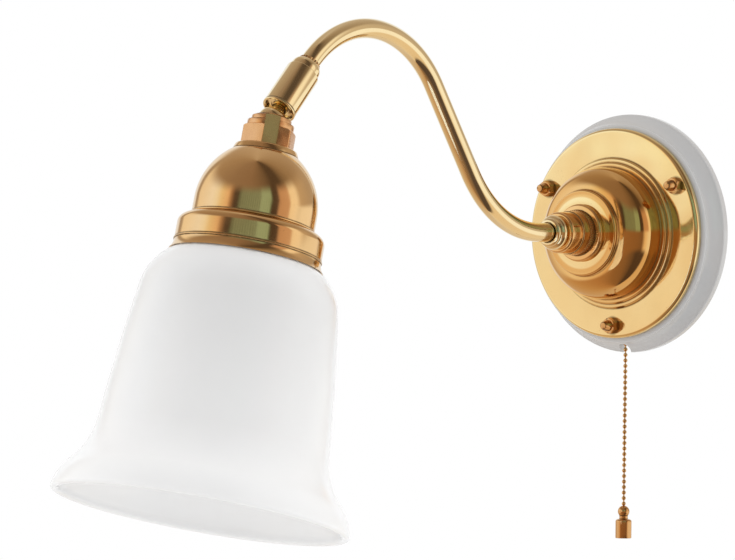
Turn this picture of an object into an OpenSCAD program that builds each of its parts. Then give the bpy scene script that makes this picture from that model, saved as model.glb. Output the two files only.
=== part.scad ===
// Wall lamp: porcelain base, spun brass wall plate, swan-neck arm that swivels in a boss,
// ball joint, spun shade holder with an opal bell shade, and a pull switch with a bead chain.
// The origin is the centre of the base on the wall. The wall is the plane y = 0, the lamp
// reaches towards -Y, the arm lies in the plane x = 0 and +Z is up.

/* [Porcelain base] */
// Outside diameter of the porcelain base at the wall
base_d = 136; // [131:1:150]
// Depth of the porcelain base, from the wall to its front face
base_depth = 14.3; // [14:0.1:18]
// Thickness of the porcelain walls
base_wall = 5.2; // [4.6:0.1:5.3]
// Height of the straight rim that stands on the wall
base_rim_h = 3.2; // [2.4:0.1:4.2]
// Width of the porcelain lip that shows round the brass plate
base_lip = 2.6; // [1.6:0.1:3.2]
// Diameter of the opening in the front of the porcelain
base_opening_d = 80; // [76:1:84]
// Width of the notch that the pull chain hangs through
notch_w = 7; // [5.5:0.5:9]
// Depth of the chain notch, measured from the wall
notch_depth = 8.5; // [7.6:0.1:9]

/* [Wall plate] */
// Outside diameter of the brass wall plate
plate_d = 119.6; // [116:0.2:122]
// Distance from the porcelain's front face to the front of the plate's flat
plate_standoff = 4.3; // [3.6:0.1:6]
// Thickness of the spun brass sheet of plate, dome and shade ring
sheet_t = 1.2; // [0.8:0.1:1.5]
// Outer radius of the plate's rolled lip
plate_lip_r = 2.3; // [1.8:0.1:3]
// Diameter of the dome's foot on the plate
dome_d = 85.6; // [84:0.2:88]
// Width of each of the two steps at the dome's foot
dome_step_w = 2.5; // [2:0.1:3]
// Height of each of the two steps at the dome's foot
dome_step_h = 1.8; // [1.4:0.1:2.4]
// Height of the dome above the plate's flat
dome_h = 28.6; // [26:0.2:34]
// Radius of the dome's rounded shoulder
dome_shoulder_r = 15.5; // [13:0.1:17]
// Diameter of the raised disc on top of the dome
dome_top_d = 43.6; // [40:0.2:45]
// Height of the raised disc on top of the dome
dome_top_h = 3; // [2:0.1:4]

/* [Studs and screws] */
// Diameter of the circle on which the three studs stand
stud_pcd = 105; // [102:0.5:106]
// Diameter of the studs
stud_d = 5; // [4:0.5:5]
// Turn of the three studs about the base's axis
stud_turn = 1.2; // [-5:0.1:5]
// Width across flats of the cap nuts and jam nuts
nut_af = 8; // [7.5:0.1:8.5]
// Height of a cap nut's hexagonal part
nut_hex_h = 4.5; // [4:0.1:5.5]
// Height of a cap nut's tapered end
nut_cone_h = 4.7; // [4:0.1:6]
// Thickness of the steel wall bracket
bracket_t = 2; // [1.5:0.1:2.4]
// Distance between the two wall screws
screw_spacing = 60; // [54:1:70]
// Diameter of the wall-screw holes
screw_d = 5; // [4:0.5:6]
// Diameter of the cable inlet in the bracket
inlet_d = 20; // [14:1:24]

/* [Swivel boss] */
// Diameter of the threaded nipples
thread_d = 10; // [9:0.5:11]
// Bore of the threaded nipples, for the wires
wire_bore = 7; // [5:0.2:7.4]
// Diameter of the boss's flange disc
boss_disc_d = 32.6; // [28:0.2:38]
// Thickness of the boss's flange disc
boss_disc_t = 3.3; // [3:0.1:4.5]
// Diameter of the knurled lock ring
knurl_d = 25.8; // [24.6:0.2:28]
// Thickness of the knurled lock ring
knurl_t = 3.6; // [3:0.1:5]
// Number of teeth round the knurled lock ring
knurl_teeth = 60; // [40:1:80]
// Diameter of the barrel
barrel_d = 23.6; // [22:0.2:24.4]
// Length of the barrel
barrel_len = 15.4; // [14.6:0.2:20]
// Diameter of the arm's spigot in the barrel
spigot_d = 13; // [12:0.2:14]
// Diameter of the arm's collar
collar_d = 19.4; // [18:0.2:21]
// Length of the arm's collar
collar_len = 5.6; // [5:0.1:8]
// Diameter of the small ring in front of the collar
collar_ring_d = 16; // [14:0.2:17]
// Radial clearance of a shaft in its bore
run_fit = 0.05; // [0.02:0.01:0.08]
// Radial clearance of a piece that is pressed in
press_fit = 0.02; // [0.01:0.01:0.04]
// Clearance between faces that turn past each other
face_gap = 0.4; // [0.3:0.05:0.6]

/* [Arm] */
// Outside diameter of the arm's tube
tube_d = 10.6; // [10:0.1:11]
// Wall thickness of the arm's tube
tube_wall = 1; // [0.8:0.1:1.5]
// Distance from the wall to the start of the first bend
arm_lead = 85.3; // [80:0.5:110]
// Radius of the lower bend, on the tube's centreline
low_bend_r = 73.4; // [60:0.5:90]
// Angle by which the arm rises between its bends
rise_angle = 55.8; // [45:0.2:65]
// Length of the straight between the bends
rise_len = 56.6; // [40:0.5:80]
// Radius of the crest, on the tube's centreline
crest_r = 65.8; // [55:0.5:80]
// Angle by which the arm drops after the crest
drop_angle = 46.7; // [40:0.2:50]
// Length of the straight from the crest to the ball's centre
drop_len = 41.7; // [36:0.5:60]

/* [Ball joint] */
// Diameter of the ball
ball_d = 15; // [14:0.2:15.6]
// Tilt of the head from the vertical
head_tilt = 14.3; // [8:0.1:20]
// Diameter of the sleeve
sleeve_d = 18.5; // [17.6:0.1:19.4]
// Length of the sleeve's straight part
sleeve_len = 27.1; // [25:0.1:27.7]
// Diameter of the narrower collar on top of the sleeve
sleeve_collar_d = 16.2; // [15.4:0.1:17]
// Height of that collar's straight part
sleeve_collar_h = 2.4; // [1.8:0.1:3]
// Height of that collar's rounded shoulder
sleeve_shoulder = 3.8; // [3:0.1:4.4]
// Diameter of the toothed ring at the sleeve's top
tooth_ring_d = 12.4; // [12:0.1:13]
// Thickness of the toothed ring at the sleeve's top
tooth_ring_t = 1.7; // [1.4:0.1:2.4]
// Number of teeth round that ring
tooth_ring_teeth = 24; // [16:1:36]
// Width across flats of the hexagonal joint cap
cap_af = 25.4; // [24.4:0.2:27]
// Length of the cap's hexagonal part
cap_hex_h = 9.9; // [9:0.1:12]
// Diameter of the cap's upper ring
cap_ring_1_d = 21; // [20.4:0.1:21.6]
// Diameter of the cap's lower ring
cap_ring_2_d = 24.6; // [23:0.1:25]
// Height of each of the cap's two rings
cap_ring_h = 3; // [2.6:0.1:3.4]
// Width of the milled slot in the cap
cap_slot_w = 8; // [6:0.2:10]
// Direction of the slot, turned from straight out towards +X
cap_slot_turn = 46.6; // [0:0.2:90]

/* [Shade holder] */
// Diameter of the holder dome's skirt
holder_d = 64.7; // [62:0.1:68]
// Diameter of the flat top of the holder dome
holder_top_d = 31; // [29.4:0.2:33]
// Height of the small step under the dome's flat top
holder_step_h = 3.4; // [2.4:0.1:4]
// Height of the holder dome, from its flat top to its bead
holder_h = 41.3; // [39:0.1:46]
// Radius of the holder dome's crown
holder_crown_r = 35.5; // [34.6:0.1:37]
// Diameter of the shade ring's band
band_d = 77.4; // [75:0.2:80]
// Height of the shade ring's rounded shoulder
ring_shoulder_h = 5; // [4:0.1:6]
// Height of the shade ring's straight band
band_h = 8.8; // [7.8:0.1:12]
// Height of the shade ring's flared lip
ring_lip_h = 5.8; // [4.6:0.1:7]
// How far the flared lip stands out from the band
ring_lip_flare = 1.9; // [1.4:0.1:2.6]

/* [Glass shade] */
// Thickness of the glass
glass_t = 3.4; // [2.8:0.1:4]
// Radius of the shade's rounded shoulder
glass_shoulder_r = 29.3; // [27:0.1:32]
// Diameter at which the shoulder meets the wall
glass_shoulder_d = 104.8; // [102:0.2:112]
// Angle of the shade's wall from its axis
glass_wall_angle = 6.5; // [4:0.1:8]
// Length of the shade's wall, along its axis
glass_wall_len = 73; // [60:0.5:90]
// Radius of the inward curve above the rim
glass_flare_r = 42; // [34:0.5:50]
// Steepest angle of the flare
glass_flare_angle = 42; // [32:0.5:50]
// Radius of the outward curve at the rim
glass_rim_r = 30; // [24:0.5:36]
// Angle at which the shade's rim ends
glass_rim_angle = 12; // [6:0.5:20]

/* [Lampholder and bulb] */
// Diameter of the lampholder's threaded barrel
socket_d = 39.6; // [39:0.1:41]
// How far the lampholder's cap stands out from its barrel
socket_cap_step = 2.2; // [1.8:0.1:3]
// Height of the lampholder's cap
socket_cap_h = 20; // [18:0.5:22]
// Height of the lampholder cap's cone, down to its skirt
socket_cap_rise = 12; // [11:0.2:13]
// Width of the shade clamp ring, from the lampholder outwards
clamp_flange = 7.2; // [6:0.1:9]
// Room between the shade clamp ring and the glass round it
clamp_room = 3.2; // [2:0.1:5]
// Height of the shade clamp ring
clamp_h = 4; // [3.4:0.1:5]
// Depth of the ceramic insert under the top of the lampholder
insert_drop = 17; // [15:0.5:19]
// Height of the ceramic insert
insert_h = 12; // [10:0.5:14]
// Height of the lampholder's screw shell
shell_h = 20; // [18:0.5:22]
// Height of the bulb's screw cap
bulb_cap_h = 23; // [22:0.1:24]
// Thickness of each shade gasket
gasket_t = 0.8; // [0.5:0.1:1.2]
// Diameter of the bulb's screw cap
bulb_cap_d = 26.4; // [26:0.1:27]
// Diameter of the bulb's glass
bulb_d = 60; // [45:1:64]
// Thickness of the bulb's glass
bulb_glass_t = 0.9; // [0.5:0.1:1.4]
// Length of the bulb, from its foot contact to its tip
bulb_len = 106; // [96:1:112]

/* [Pull switch] */
// Distance from the wall to the chain's centreline
chain_y = 4.8; // [4.4:0.1:5.2]
// Travel of the pull chain
pull_travel = 7; // [5:0.5:8]
// Diameter of a bead of the chain
bead_d = 2.4; // [2:0.1:2.6]
// Distance between the centres of two beads
bead_pitch = 3.15; // [3:0.05:3.4]
// Diameter of the wire links between the beads
link_d = 0.9; // [0.7:0.1:1.1]
// Number of beads on the chain below the lever
bead_count = 37; // [32:1:48]
// Diameter of the bell pull's body
bell_d = 9.25; // [8:0.05:11]
// Height of the bell pull's straight body
bell_h = 9.6; // [8:0.1:12]
// Diameter of the ball on top of the bell pull
bell_ball_d = 6.7; // [6:0.1:7.4]
// Width of the switch body
switch_w = 26; // [24:0.5:30]
// Height of the switch body
switch_h = 21; // [18:0.5:24]
// Depth of the switch body
switch_depth = 20; // [16:0.5:24]

/* [Hidden] */
$fn = 96;
cut = 0.5;

base_r = base_d / 2;
plate_r = plate_d / 2;
lip_r = plate_r + base_lip;
stud_r = stud_d / 2;
thread_r = thread_d / 2;
tube_r = tube_d / 2;
ball_r = ball_d / 2;
spigot_r = spigot_d / 2;
wire_r = wire_bore / 2;

// Depths from the wall along the boss
porcelain_back = base_depth - base_wall;
plate_front = base_depth + plate_standoff;
plate_back = plate_front - sheet_t;
dome_top = plate_front + dome_h;
disc_front = dome_top + boss_disc_t;
knurl_front = disc_front + knurl_t;
barrel_front = knurl_front + barrel_len;
collar_back = barrel_front + face_gap;
collar_front = collar_back + collar_len;
collar_ring_front = collar_front + 1.8;
nipple_end = knurl_front + 3;
chamber_end = barrel_front - 3.6;
spigot_end = nipple_end + 1.2;
tube_start = collar_back + 1;

// Places along the arm's centreline, as [y, z]
rise_start = [-arm_lead - low_bend_r * sin(rise_angle), low_bend_r * (1 - cos(rise_angle))];
rise_end = rise_start + rise_len * [-cos(rise_angle), sin(rise_angle)];
crest_centre = rise_end - crest_r * [sin(rise_angle), cos(rise_angle)];
drop_start = crest_centre + crest_r * [-sin(drop_angle), cos(drop_angle)];
ball_at = drop_start - drop_len * [cos(drop_angle), sin(drop_angle)];

// Heights along the sleeve, from the ball's centre
sleeve_foot = ball_r + 0.2;
sleeve_top = sleeve_foot + sleeve_len;
collar_top = sleeve_top + sleeve_collar_h;
shoulder_top = collar_top + sleeve_shoulder;
sleeve_recess = sleeve_foot + 2;
stem_end = sleeve_foot + 14.5;
tube_end = stem_end + 2;

// Distances along the head, from the ball's centre downwards
seat_r = ball_r + run_fit;
cap_lip = -2.4;
cap_top = -0.9;
cap_ring_2 = cap_top + cap_ring_h - 0.6;
cap_hex = cap_ring_2 + cap_ring_h + 0.5;
cap_end = cap_hex + cap_hex_h;
cavity_r = ball_r + 1.2;
cavity_end = ball_r + 2.1;
seat_end = cavity_end - 1.1;
head_nipple_start = cavity_end + 0.5;
dome_nut_end = cap_end + sheet_t + 4;
holder_bead = cap_end + holder_h;
holder_skirt_end = holder_bead + 2.6;
holder_r = holder_d / 2;
ring_lip_r = band_d / 2 + ring_lip_flare;
crown_centre = [holder_r - holder_crown_r, 0];
step_r = holder_top_d / 2 + 1.9;
crown_rise = sqrt(pow(holder_crown_r, 2) - pow(step_r - crown_centre[0], 2));
crown_z = cap_end + holder_step_h + crown_rise;
ring_top = holder_bead + 0.3;
band_top = ring_top + ring_shoulder_h;
band_end = band_top + band_h;
ring_end = band_end + ring_lip_h;
web_top = band_end - 6.6;
web_end = web_top + sheet_t;
glass_top = web_end + gasket_t;
glass_flange_end = glass_top + glass_t;
clamp_top = glass_flange_end + gasket_t;
clamp_end = clamp_top + clamp_h;
socket_top = dome_nut_end + 0.8;
socket_end = clamp_end + 1.5;
socket_r = socket_d / 2;
socket_wall = 2;
insert_top = socket_top + insert_drop;
insert_end = insert_top + insert_h;
contact_well = 3;
bulb_start = insert_end + 1.6;
bulb_cap_end = bulb_start + bulb_cap_h;
bulb_foot_h = 1.6;
bulb_tip = bulb_start + bulb_len;
bulb_r = bulb_d / 2;
bulb_centre = bulb_tip - bulb_r;
bulb_neck_r = bulb_cap_d / 2 - 0.4;

// The glass, along its profile
shoulder_r0 = glass_shoulder_d / 2 - glass_shoulder_r;
mouth_r = ring_lip_r - 1.15;
shoulder_centre = [shoulder_r0,
    ring_end + sqrt(pow(glass_shoulder_r, 2) - pow(mouth_r - shoulder_r0, 2))];
wall_lead = glass_wall_angle + 1.8;
wall_tail = glass_wall_angle - 1.5;
wall_top = shoulder_centre + glass_shoulder_r * [cos(wall_lead), -sin(wall_lead)];
wall_end = wall_top + glass_wall_len * [tan(glass_wall_angle), 1];
wall_bow = norm(wall_end - wall_top) * 15;
flare_centre = wall_end + glass_flare_r * [cos(wall_tail), -sin(wall_tail)];
flare_end = flare_centre - glass_flare_r * [cos(glass_flare_angle), -sin(glass_flare_angle)];
rim_centre = flare_end - glass_rim_r * [cos(glass_flare_angle), -sin(glass_flare_angle)];
rim_bead_r = glass_t / 2 + 0.35;
clamp_r = socket_r + clamp_flange;
glass_neck_r = clamp_r + clamp_room + glass_t;
glass_hole_r = socket_r + 1.6;
shell_r = bulb_cap_d / 2 + 0.6;

// The switch and the chain
switch_top = -12;
switch_foot = switch_top - switch_h;
lever_len = 14.2;
lever_swing = asin(pull_travel / 2 / lever_len);
pivot_z = switch_foot - 7.6;
pivot_x = -lever_len * (1 + cos(lever_swing)) / 2;
eye_z = pivot_z + lever_len * sin(lever_swing);
lever_t = 1.2;
lever_foot = chain_y - 1.4;
lever_top = chain_y + 2;
pin_r = 1.2;
pin_top = porcelain_back - 0.3;
pin_head = 0.6;
stop_bead = eye_z + bead_d / 2 + 0.75;
first_bead = eye_z - bead_d / 2 - 2.8;
last_bead = first_bead - (bead_count - 1) * bead_pitch;
bell_ball_z = last_bead - bead_d / 2 - bell_ball_d / 2 + 0.1;
bell_shoulder = bell_ball_z - bell_ball_d / 2 - 0.9;
bell_top = bell_shoulder - 1.4;

// Points of an arc about c, from angle a0 to angle a1
function arc(c, r, a0, a1, n = 16) =
    [for (i = [0:n]) let (a = a0 + (a1 - a0) * i / n) [c[0] + r * cos(a), c[1] + r * sin(a)]];

// Points of an arc from a to b with radius r; a positive r bulges to the right of a to b
function bow(a, b, r, n = 10) =
    let (h = norm(b - a) / 2, up = [a[1] - b[1], b[0] - a[0]] / (2 * h),
        c = (a + b) / 2 + sign(r) * sqrt(r * r - h * h) * up,
        a0 = atan2(a[1] - c[1], a[0] - c[0]), a1 = atan2(b[1] - c[1], b[0] - c[0]),
        turn = (a1 - a0 + 900) % 360 - 180)
    arc(c, abs(r), a0, a0 + turn, n);

// Points of the same list from last to first
function back(list) = [for (i = [len(list) - 1:-1:0]) list[i]];

// Outline of a knurled ring with pointed teeth
function teeth(count, r, depth) =
    [for (i = [0:2 * count - 1]) (r - depth * (i % 2)) * [cos(180 * i / count), sin(180 * i / count)]];

// Places children with their z axis along the boss, out from the wall
module on_wall() {
    rotate([90, 0, 0]) children();
}

// Places children at the studs from first to last, counted from the right round the top
module at_studs(first = 0, last = 2) {
    for (i = [first:last])
        rotate([0, 0, 30 + 120 * i + stud_turn]) translate([stud_pcd / 2, 0, 0]) children();
}

// Places children at the ball's centre, with their z axis up the sleeve
module in_sleeve() {
    translate([0, ball_at[0], ball_at[1]]) rotate([drop_angle - 90, 0, 0]) children();
}

// Places children at the ball's centre, with their z axis down the head
module in_head() {
    translate([0, ball_at[0], ball_at[1]]) rotate([180 - head_tilt, 0, 0]) children();
}

// A round bar with a bore, from z0 to z1
module ring(r_out, r_in, z0, z1) {
    difference() {
        translate([0, 0, z0]) cylinder(h = z1 - z0, r = r_out);
        translate([0, 0, z0 - cut]) cylinder(h = z1 - z0 + 2 * cut, r = r_in);
    }
}

// A hexagonal nut with a bore and a chamfer at both ends, from z0 to z1
module hex_nut(af, r_in, z0, z1) {
    corner_r = af / 2 / cos(30);
    chamfer = corner_r - af / 2;
    difference() {
        intersection() {
            translate([0, 0, z0]) cylinder(h = z1 - z0, r = corner_r, $fn = 6);
            rotate_extrude() polygon([[0, z0], [af / 2, z0], [corner_r, z0 + chamfer / 2],
                [corner_r, z1 - chamfer / 2], [af / 2, z1], [0, z1]]);
        }
        translate([0, 0, z0 - cut]) cylinder(h = z1 - z0 + 2 * cut, r = r_in);
    }
}

// The porcelain base: an open ring with a sloping skirt, a lip and a front face
module base_housing() {
    lip_bead = 1.5;
    color("white") on_wall() difference() {
        rotate_extrude() polygon(concat(
            [[base_r - base_wall, 0], [base_r - 0.4, 0], [base_r, 0.4], [base_r, base_rim_h]],
            arc([base_r - 1.2, base_rim_h], 1.2, 15, 50, 4),
            bow([base_r - 0.9, base_rim_h + 1.1],
                [lip_r - 0.5, base_depth - 2 * lip_bead - 0.4], -14),
            arc([lip_r - lip_bead, base_depth - lip_bead], lip_bead, -40, 90, 10),
            [[base_opening_d / 2 + 0.8, base_depth], [base_opening_d / 2, base_depth - 0.8],
            [base_opening_d / 2, porcelain_back], [lip_r - base_wall, porcelain_back]]));
        at_studs() translate([0, 0, porcelain_back - cut])
            cylinder(h = base_wall + 2 * cut, r = stud_r + 0.3);
        translate([0, -base_r, 0]) chain_notch();
    }
}

// The space that the chain hangs through, with a round top
module chain_notch() {
    round_z = notch_depth - notch_w / 2;
    translate([-notch_w / 2, -10, -cut]) cube([notch_w, 20, round_z + cut]);
    translate([0, 10, round_z]) rotate([90, 0, 0]) cylinder(h = 20, d = notch_w);
}

// The steel bracket that is screwed to the wall
module wall_bracket() {
    bracket_r = base_r - base_wall - 2.4;
    color("silver") on_wall() difference() {
        cylinder(h = bracket_t, r = bracket_r);
        translate([0, 0, -cut]) cylinder(h = bracket_t + 2 * cut, d = inlet_d);
        for (side = [-1, 1]) translate([side * screw_spacing / 2, 0, -cut])
            cylinder(h = bracket_t + 2 * cut, d = screw_d);
        at_studs(0, 1) translate([0, 0, -cut])
            cylinder(h = bracket_t + 2 * cut, r = stud_r + press_fit);
    }
}

// Two studs pressed into the bracket, and a headed bolt where the chain runs behind
module studs() {
    stud_end = plate_front + nut_hex_h - 0.6;
    head_h = 1.4;
    color("goldenrod") on_wall() {
        at_studs(0, 1) {
            cylinder(h = stud_end, r = stud_r);
            translate([0, 0, bracket_t]) cylinder(h = head_h, r = stud_r + 1.6);
        }
        at_studs(2, 2) translate([0, 0, porcelain_back - head_h]) {
            cylinder(h = stud_end - porcelain_back + head_h, r = stud_r);
            cylinder(h = head_h, r = stud_r + 1.6);
        }
    }
}

// Three jam nuts that hold the porcelain and carry the plate
module jam_nuts() {
    color("goldenrod") on_wall() at_studs()
        hex_nut(nut_af, stud_r + run_fit, base_depth, plate_back);
}

// Three cap nuts with tapered ends
module cap_nuts() {
    color("darkgoldenrod") on_wall() at_studs() difference() {
        union() {
            hex_nut(nut_af, stud_r + run_fit, plate_front, plate_front + nut_hex_h);
            translate([0, 0, plate_front]) rotate_extrude() polygon(concat(
                [[0, 0.4], [nut_af / 2 - 0.85, 0.4], [nut_af / 2 - 0.85, nut_hex_h + 0.5]],
                bow([nut_af / 2 - 0.9, nut_hex_h + 0.7],
                    [nut_af / 4 + 0.2, nut_hex_h + nut_cone_h - 0.4], 12, 4),
                [[nut_af / 4 - 0.2, nut_hex_h + nut_cone_h], [0, nut_hex_h + nut_cone_h]]));
        }
        translate([0, 0, plate_front - cut]) cylinder(h = nut_hex_h + cut, r = stud_r + run_fit);
    }
}

// The spun plate's steps and dome, as radii and depths from the wall
step_1_r = dome_d / 2;
step_2_r = step_1_r - dome_step_w;
foot_r = step_2_r - dome_step_w - 0.3;
ledge_1 = plate_front + dome_step_h;
ledge_2 = ledge_1 + dome_step_h;
shoulder_mid = [foot_r - dome_shoulder_r, dome_top - dome_top_h - dome_shoulder_r];

// The front of the spun plate, from its lip to the middle
function plate_outside() = concat(
    [[plate_r, base_depth + 0.05]],
    arc([plate_r - plate_lip_r, plate_front - plate_lip_r], plate_lip_r, 0, 90, 10),
    [[step_1_r, plate_front]],
    arc([step_1_r - 1.2, ledge_1 - 1.2], 1.2, 0, 90, 6),
    [[step_2_r, ledge_1]],
    arc([step_2_r - 1.2, ledge_2 - 1.2], 1.2, 0, 90, 6),
    [[foot_r, ledge_2]],
    arc(shoulder_mid, dome_shoulder_r, 0, 80, 24),
    [[dome_top_d / 2 + 2.4, dome_top - dome_top_h + 0.7]],
    arc([dome_top_d / 2 + 1.4, dome_top - 1], 1, -10, 90, 6),
    [[dome_top_d / 2, dome_top - 0.2], [dome_top_d / 2 - 1, dome_top], [thread_r + run_fit, dome_top]]);

// The back of the spun plate, from its lip to the middle
function plate_inside() = concat(
    [[plate_r - sheet_t, base_depth + 0.05]],
    arc([plate_r - plate_lip_r, plate_front - plate_lip_r], plate_lip_r - sheet_t, 0, 90, 6),
    [[step_1_r - sheet_t, plate_back], [step_1_r - sheet_t, ledge_1 - sheet_t],
    [step_2_r - sheet_t, ledge_1 - sheet_t], [step_2_r - sheet_t, ledge_2 - sheet_t],
    [foot_r - sheet_t, ledge_2 - sheet_t]],
    arc(shoulder_mid, dome_shoulder_r - sheet_t, 0, 80, 16),
    [[dome_top_d / 2 + 2.4 - sheet_t, dome_top - sheet_t - 1], [dome_top_d / 2, dome_top - sheet_t],
    [thread_r + run_fit, dome_top - sheet_t]]);

// The spun brass plate: flat flange with a rolled lip, stepped dome
module wall_plate() {
    color("gold") on_wall() difference() {
        rotate_extrude() polygon(concat(plate_outside(), back(plate_inside())));
        at_studs() translate([0, 0, plate_back - cut])
            cylinder(h = sheet_t + 2 * cut, r = stud_r + 0.2);
    }
}

// The boss's flange disc on top of the dome
module boss_disc() {
    edge_r = boss_disc_t / 2 - 0.1;
    color("gold") on_wall() rotate_extrude() polygon(concat(
        [[thread_r + run_fit, dome_top], [boss_disc_d / 2 - edge_r, dome_top]],
        arc([boss_disc_d / 2 - edge_r, dome_top + edge_r], edge_r, -80, 90, 12),
        [[knurl_d / 2 + 0.6, disc_front], [knurl_d / 2, disc_front], [thread_r + run_fit, disc_front]]));
}

// The knurled lock ring
module knurled_ring() {
    color("goldenrod") on_wall() difference() {
        translate([0, 0, disc_front])
            linear_extrude(height = knurl_t) polygon(teeth(knurl_teeth, knurl_d / 2, 0.5));
        translate([0, 0, disc_front - cut]) cylinder(h = knurl_t + 2 * cut, r = thread_r + run_fit);
    }
}

// The barrel in which the arm's spigot turns
module barrel() {
    barrel_r = barrel_d / 2;
    color("gold") on_wall() difference() {
        rotate_extrude() polygon(concat(
            [[thread_r + run_fit, knurl_front], [barrel_r - 0.2, knurl_front],
            [barrel_r + 0.4, knurl_front + 0.6], [barrel_r + 0.4, knurl_front + 5.2],
            [barrel_r, knurl_front + 5.9]],
            arc([barrel_r - 1.8, barrel_front - 1.5], 1.5, 0, 90, 8),
            [[spigot_r + run_fit, barrel_front], [spigot_r + run_fit, chamber_end],
            [spigot_r + 2.2, chamber_end], [spigot_r + 2.2, nipple_end],
            [thread_r + run_fit, nipple_end]]));
    }
}

// The hollow nipple that holds the boss to the dome
module boss_nipple() {
    color("goldenrod") on_wall() ring(thread_r, wire_r, dome_top - sheet_t - 6.4, nipple_end);
}

// The washer behind the dome
module boss_washer() {
    color("silver") on_wall()
        ring(thread_r + 5.5, thread_r + run_fit, dome_top - sheet_t - 1, dome_top - sheet_t);
}

// The nut behind the washer
module boss_nut() {
    color("goldenrod") on_wall()
        hex_nut(thread_d + 4, thread_r + run_fit, dome_top - sheet_t - 5, dome_top - sheet_t - 1);
}

// One bend of the arm's tube, in the plane x = 0, from angle a0 to a1 about a centre
module bend(centre, radius, a0, a1) {
    translate([0, centre[0], centre[1]]) rotate([90, 0, 90]) rotate([0, 0, a0])
        rotate_extrude(angle = a1 - a0) translate([radius, 0]) tube_section();
}

// One straight of the arm's tube, from a place and along a slope
module straight(place, slope, length) {
    translate([0, place[0], place[1]]) rotate([90 - slope, 0, 0])
        linear_extrude(height = length) tube_section(0.02);
}

// The tube's ring-shaped section, thinned by a skin on both faces
module tube_section(skin = 0) {
    difference() {
        circle(r = tube_r - skin);
        circle(r = tube_r - tube_wall + skin);
    }
}

// The swan-neck arm
module arm_tube() {
    lap = 0.8;
    rise = [-cos(rise_angle), sin(rise_angle)];
    color("gold") union() {
        straight([-tube_start, 0], 0, arm_lead - tube_start + lap);
        bend([-arm_lead, low_bend_r], low_bend_r, -90 - rise_angle, -90);
        straight(rise_start - lap * rise, rise_angle, rise_len + 2 * lap);
        bend(crest_centre, crest_r, 90 - rise_angle, 90 + drop_angle);
        straight(drop_start + lap * [cos(drop_angle), sin(drop_angle)], -drop_angle,
            drop_len - tube_end + lap);
    }
}

// The collar that is brazed to the tube, with the spigot that turns in the barrel
module arm_collar() {
    bead_r = (collar_len - 0.6) / 2;
    neck_r = collar_d / 2 - bead_r;
    color("gold") on_wall() rotate_extrude() polygon(concat(
        [[wire_r, spigot_end], [spigot_r - 0.4, spigot_end], [spigot_r, spigot_end + 0.4],
        [spigot_r, collar_back]],
        [[neck_r, collar_back]],
        arc([neck_r, collar_back + bead_r], bead_r, -90, 60, 16),
        [[collar_ring_d / 2 - 0.6, collar_front - 0.5], [collar_ring_d / 2, collar_front],
        [collar_ring_d / 2, collar_ring_front - 1], [collar_ring_d / 2 - 1.2, collar_ring_front],
        [tube_r + 0.7, collar_ring_front], [tube_r + 0.35, collar_ring_front - 1.2],
        [tube_r + run_fit, collar_ring_front - 1.2], [tube_r + run_fit, tube_start],
        [wire_r, tube_start]]));
}

// The nut that keeps the spigot in the barrel
module swivel_nut() {
    color("goldenrod") on_wall()
        ring(spigot_r + 1.7, spigot_r + press_fit, chamber_end - face_gap - 2.3, chamber_end - face_gap);
}

// The sleeve at the arm's end, with its collar and a recess over the ball
module sleeve() {
    sleeve_r = sleeve_d / 2;
    collar_r = sleeve_collar_d / 2;
    throat_r = tooth_ring_d / 2 - 0.2;
    recess_r = sleeve_r - 1.2;
    color("gold") in_sleeve() rotate_extrude() polygon(concat(
        [[tube_r + run_fit, sleeve_recess], [recess_r, sleeve_recess], [recess_r, sleeve_foot],
        [sleeve_r - 0.5, sleeve_foot], [sleeve_r, sleeve_foot + 0.5],
        [sleeve_r, sleeve_foot + 1.1], [sleeve_r - 0.15, sleeve_foot + 1.3],
        [sleeve_r - 0.15, sleeve_top - 0.4], [sleeve_r - 0.55, sleeve_top], [collar_r, sleeve_top]],
        [for (i = [0:8]) let (a = 90 * i / 8) [throat_r + (collar_r - throat_r) * cos(a),
            collar_top + sleeve_shoulder * sin(a)]],
        [[tube_r + run_fit, shoulder_top]]));
}

// The toothed ring where the tube enters the sleeve
module sleeve_ring() {
    tooth_depth = 0.4;
    color("darkgoldenrod") in_sleeve() difference() {
        translate([0, 0, shoulder_top]) linear_extrude(height = tooth_ring_t)
            polygon(teeth(tooth_ring_teeth, tooth_ring_d / 2, tooth_depth));
        translate([0, 0, shoulder_top - cut])
            cylinder(h = tooth_ring_t + 2 * cut, r = tube_r + run_fit);
    }
}

// The ball, with the stem that is screwed into the sleeve
module ball_stem() {
    neck_r = tube_r - 1.1;
    stem_bore = 2.4;
    stem_start = sleeve_recess + 0.5;
    color("gold") in_sleeve() difference() {
        union() {
            sphere(r = ball_r);
            cylinder(h = stem_start + cut, r = neck_r);
            translate([0, 0, stem_start]) cylinder(h = stem_end - stem_start, r = tube_r);
        }
        translate([0, 0, -ball_r - cut]) cylinder(h = stem_end + ball_r + 2 * cut, r = stem_bore);
    }
}

// The cup under the ball
module ball_seat() {
    seat_bore = 3;
    color("dimgray") in_head() difference() {
        translate([0, 0, 2.2]) cylinder(h = seat_end - 2.2, r = cavity_r - run_fit);
        sphere(r = seat_r);
        cylinder(h = seat_end + cut, r = seat_bore);
    }
}

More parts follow.
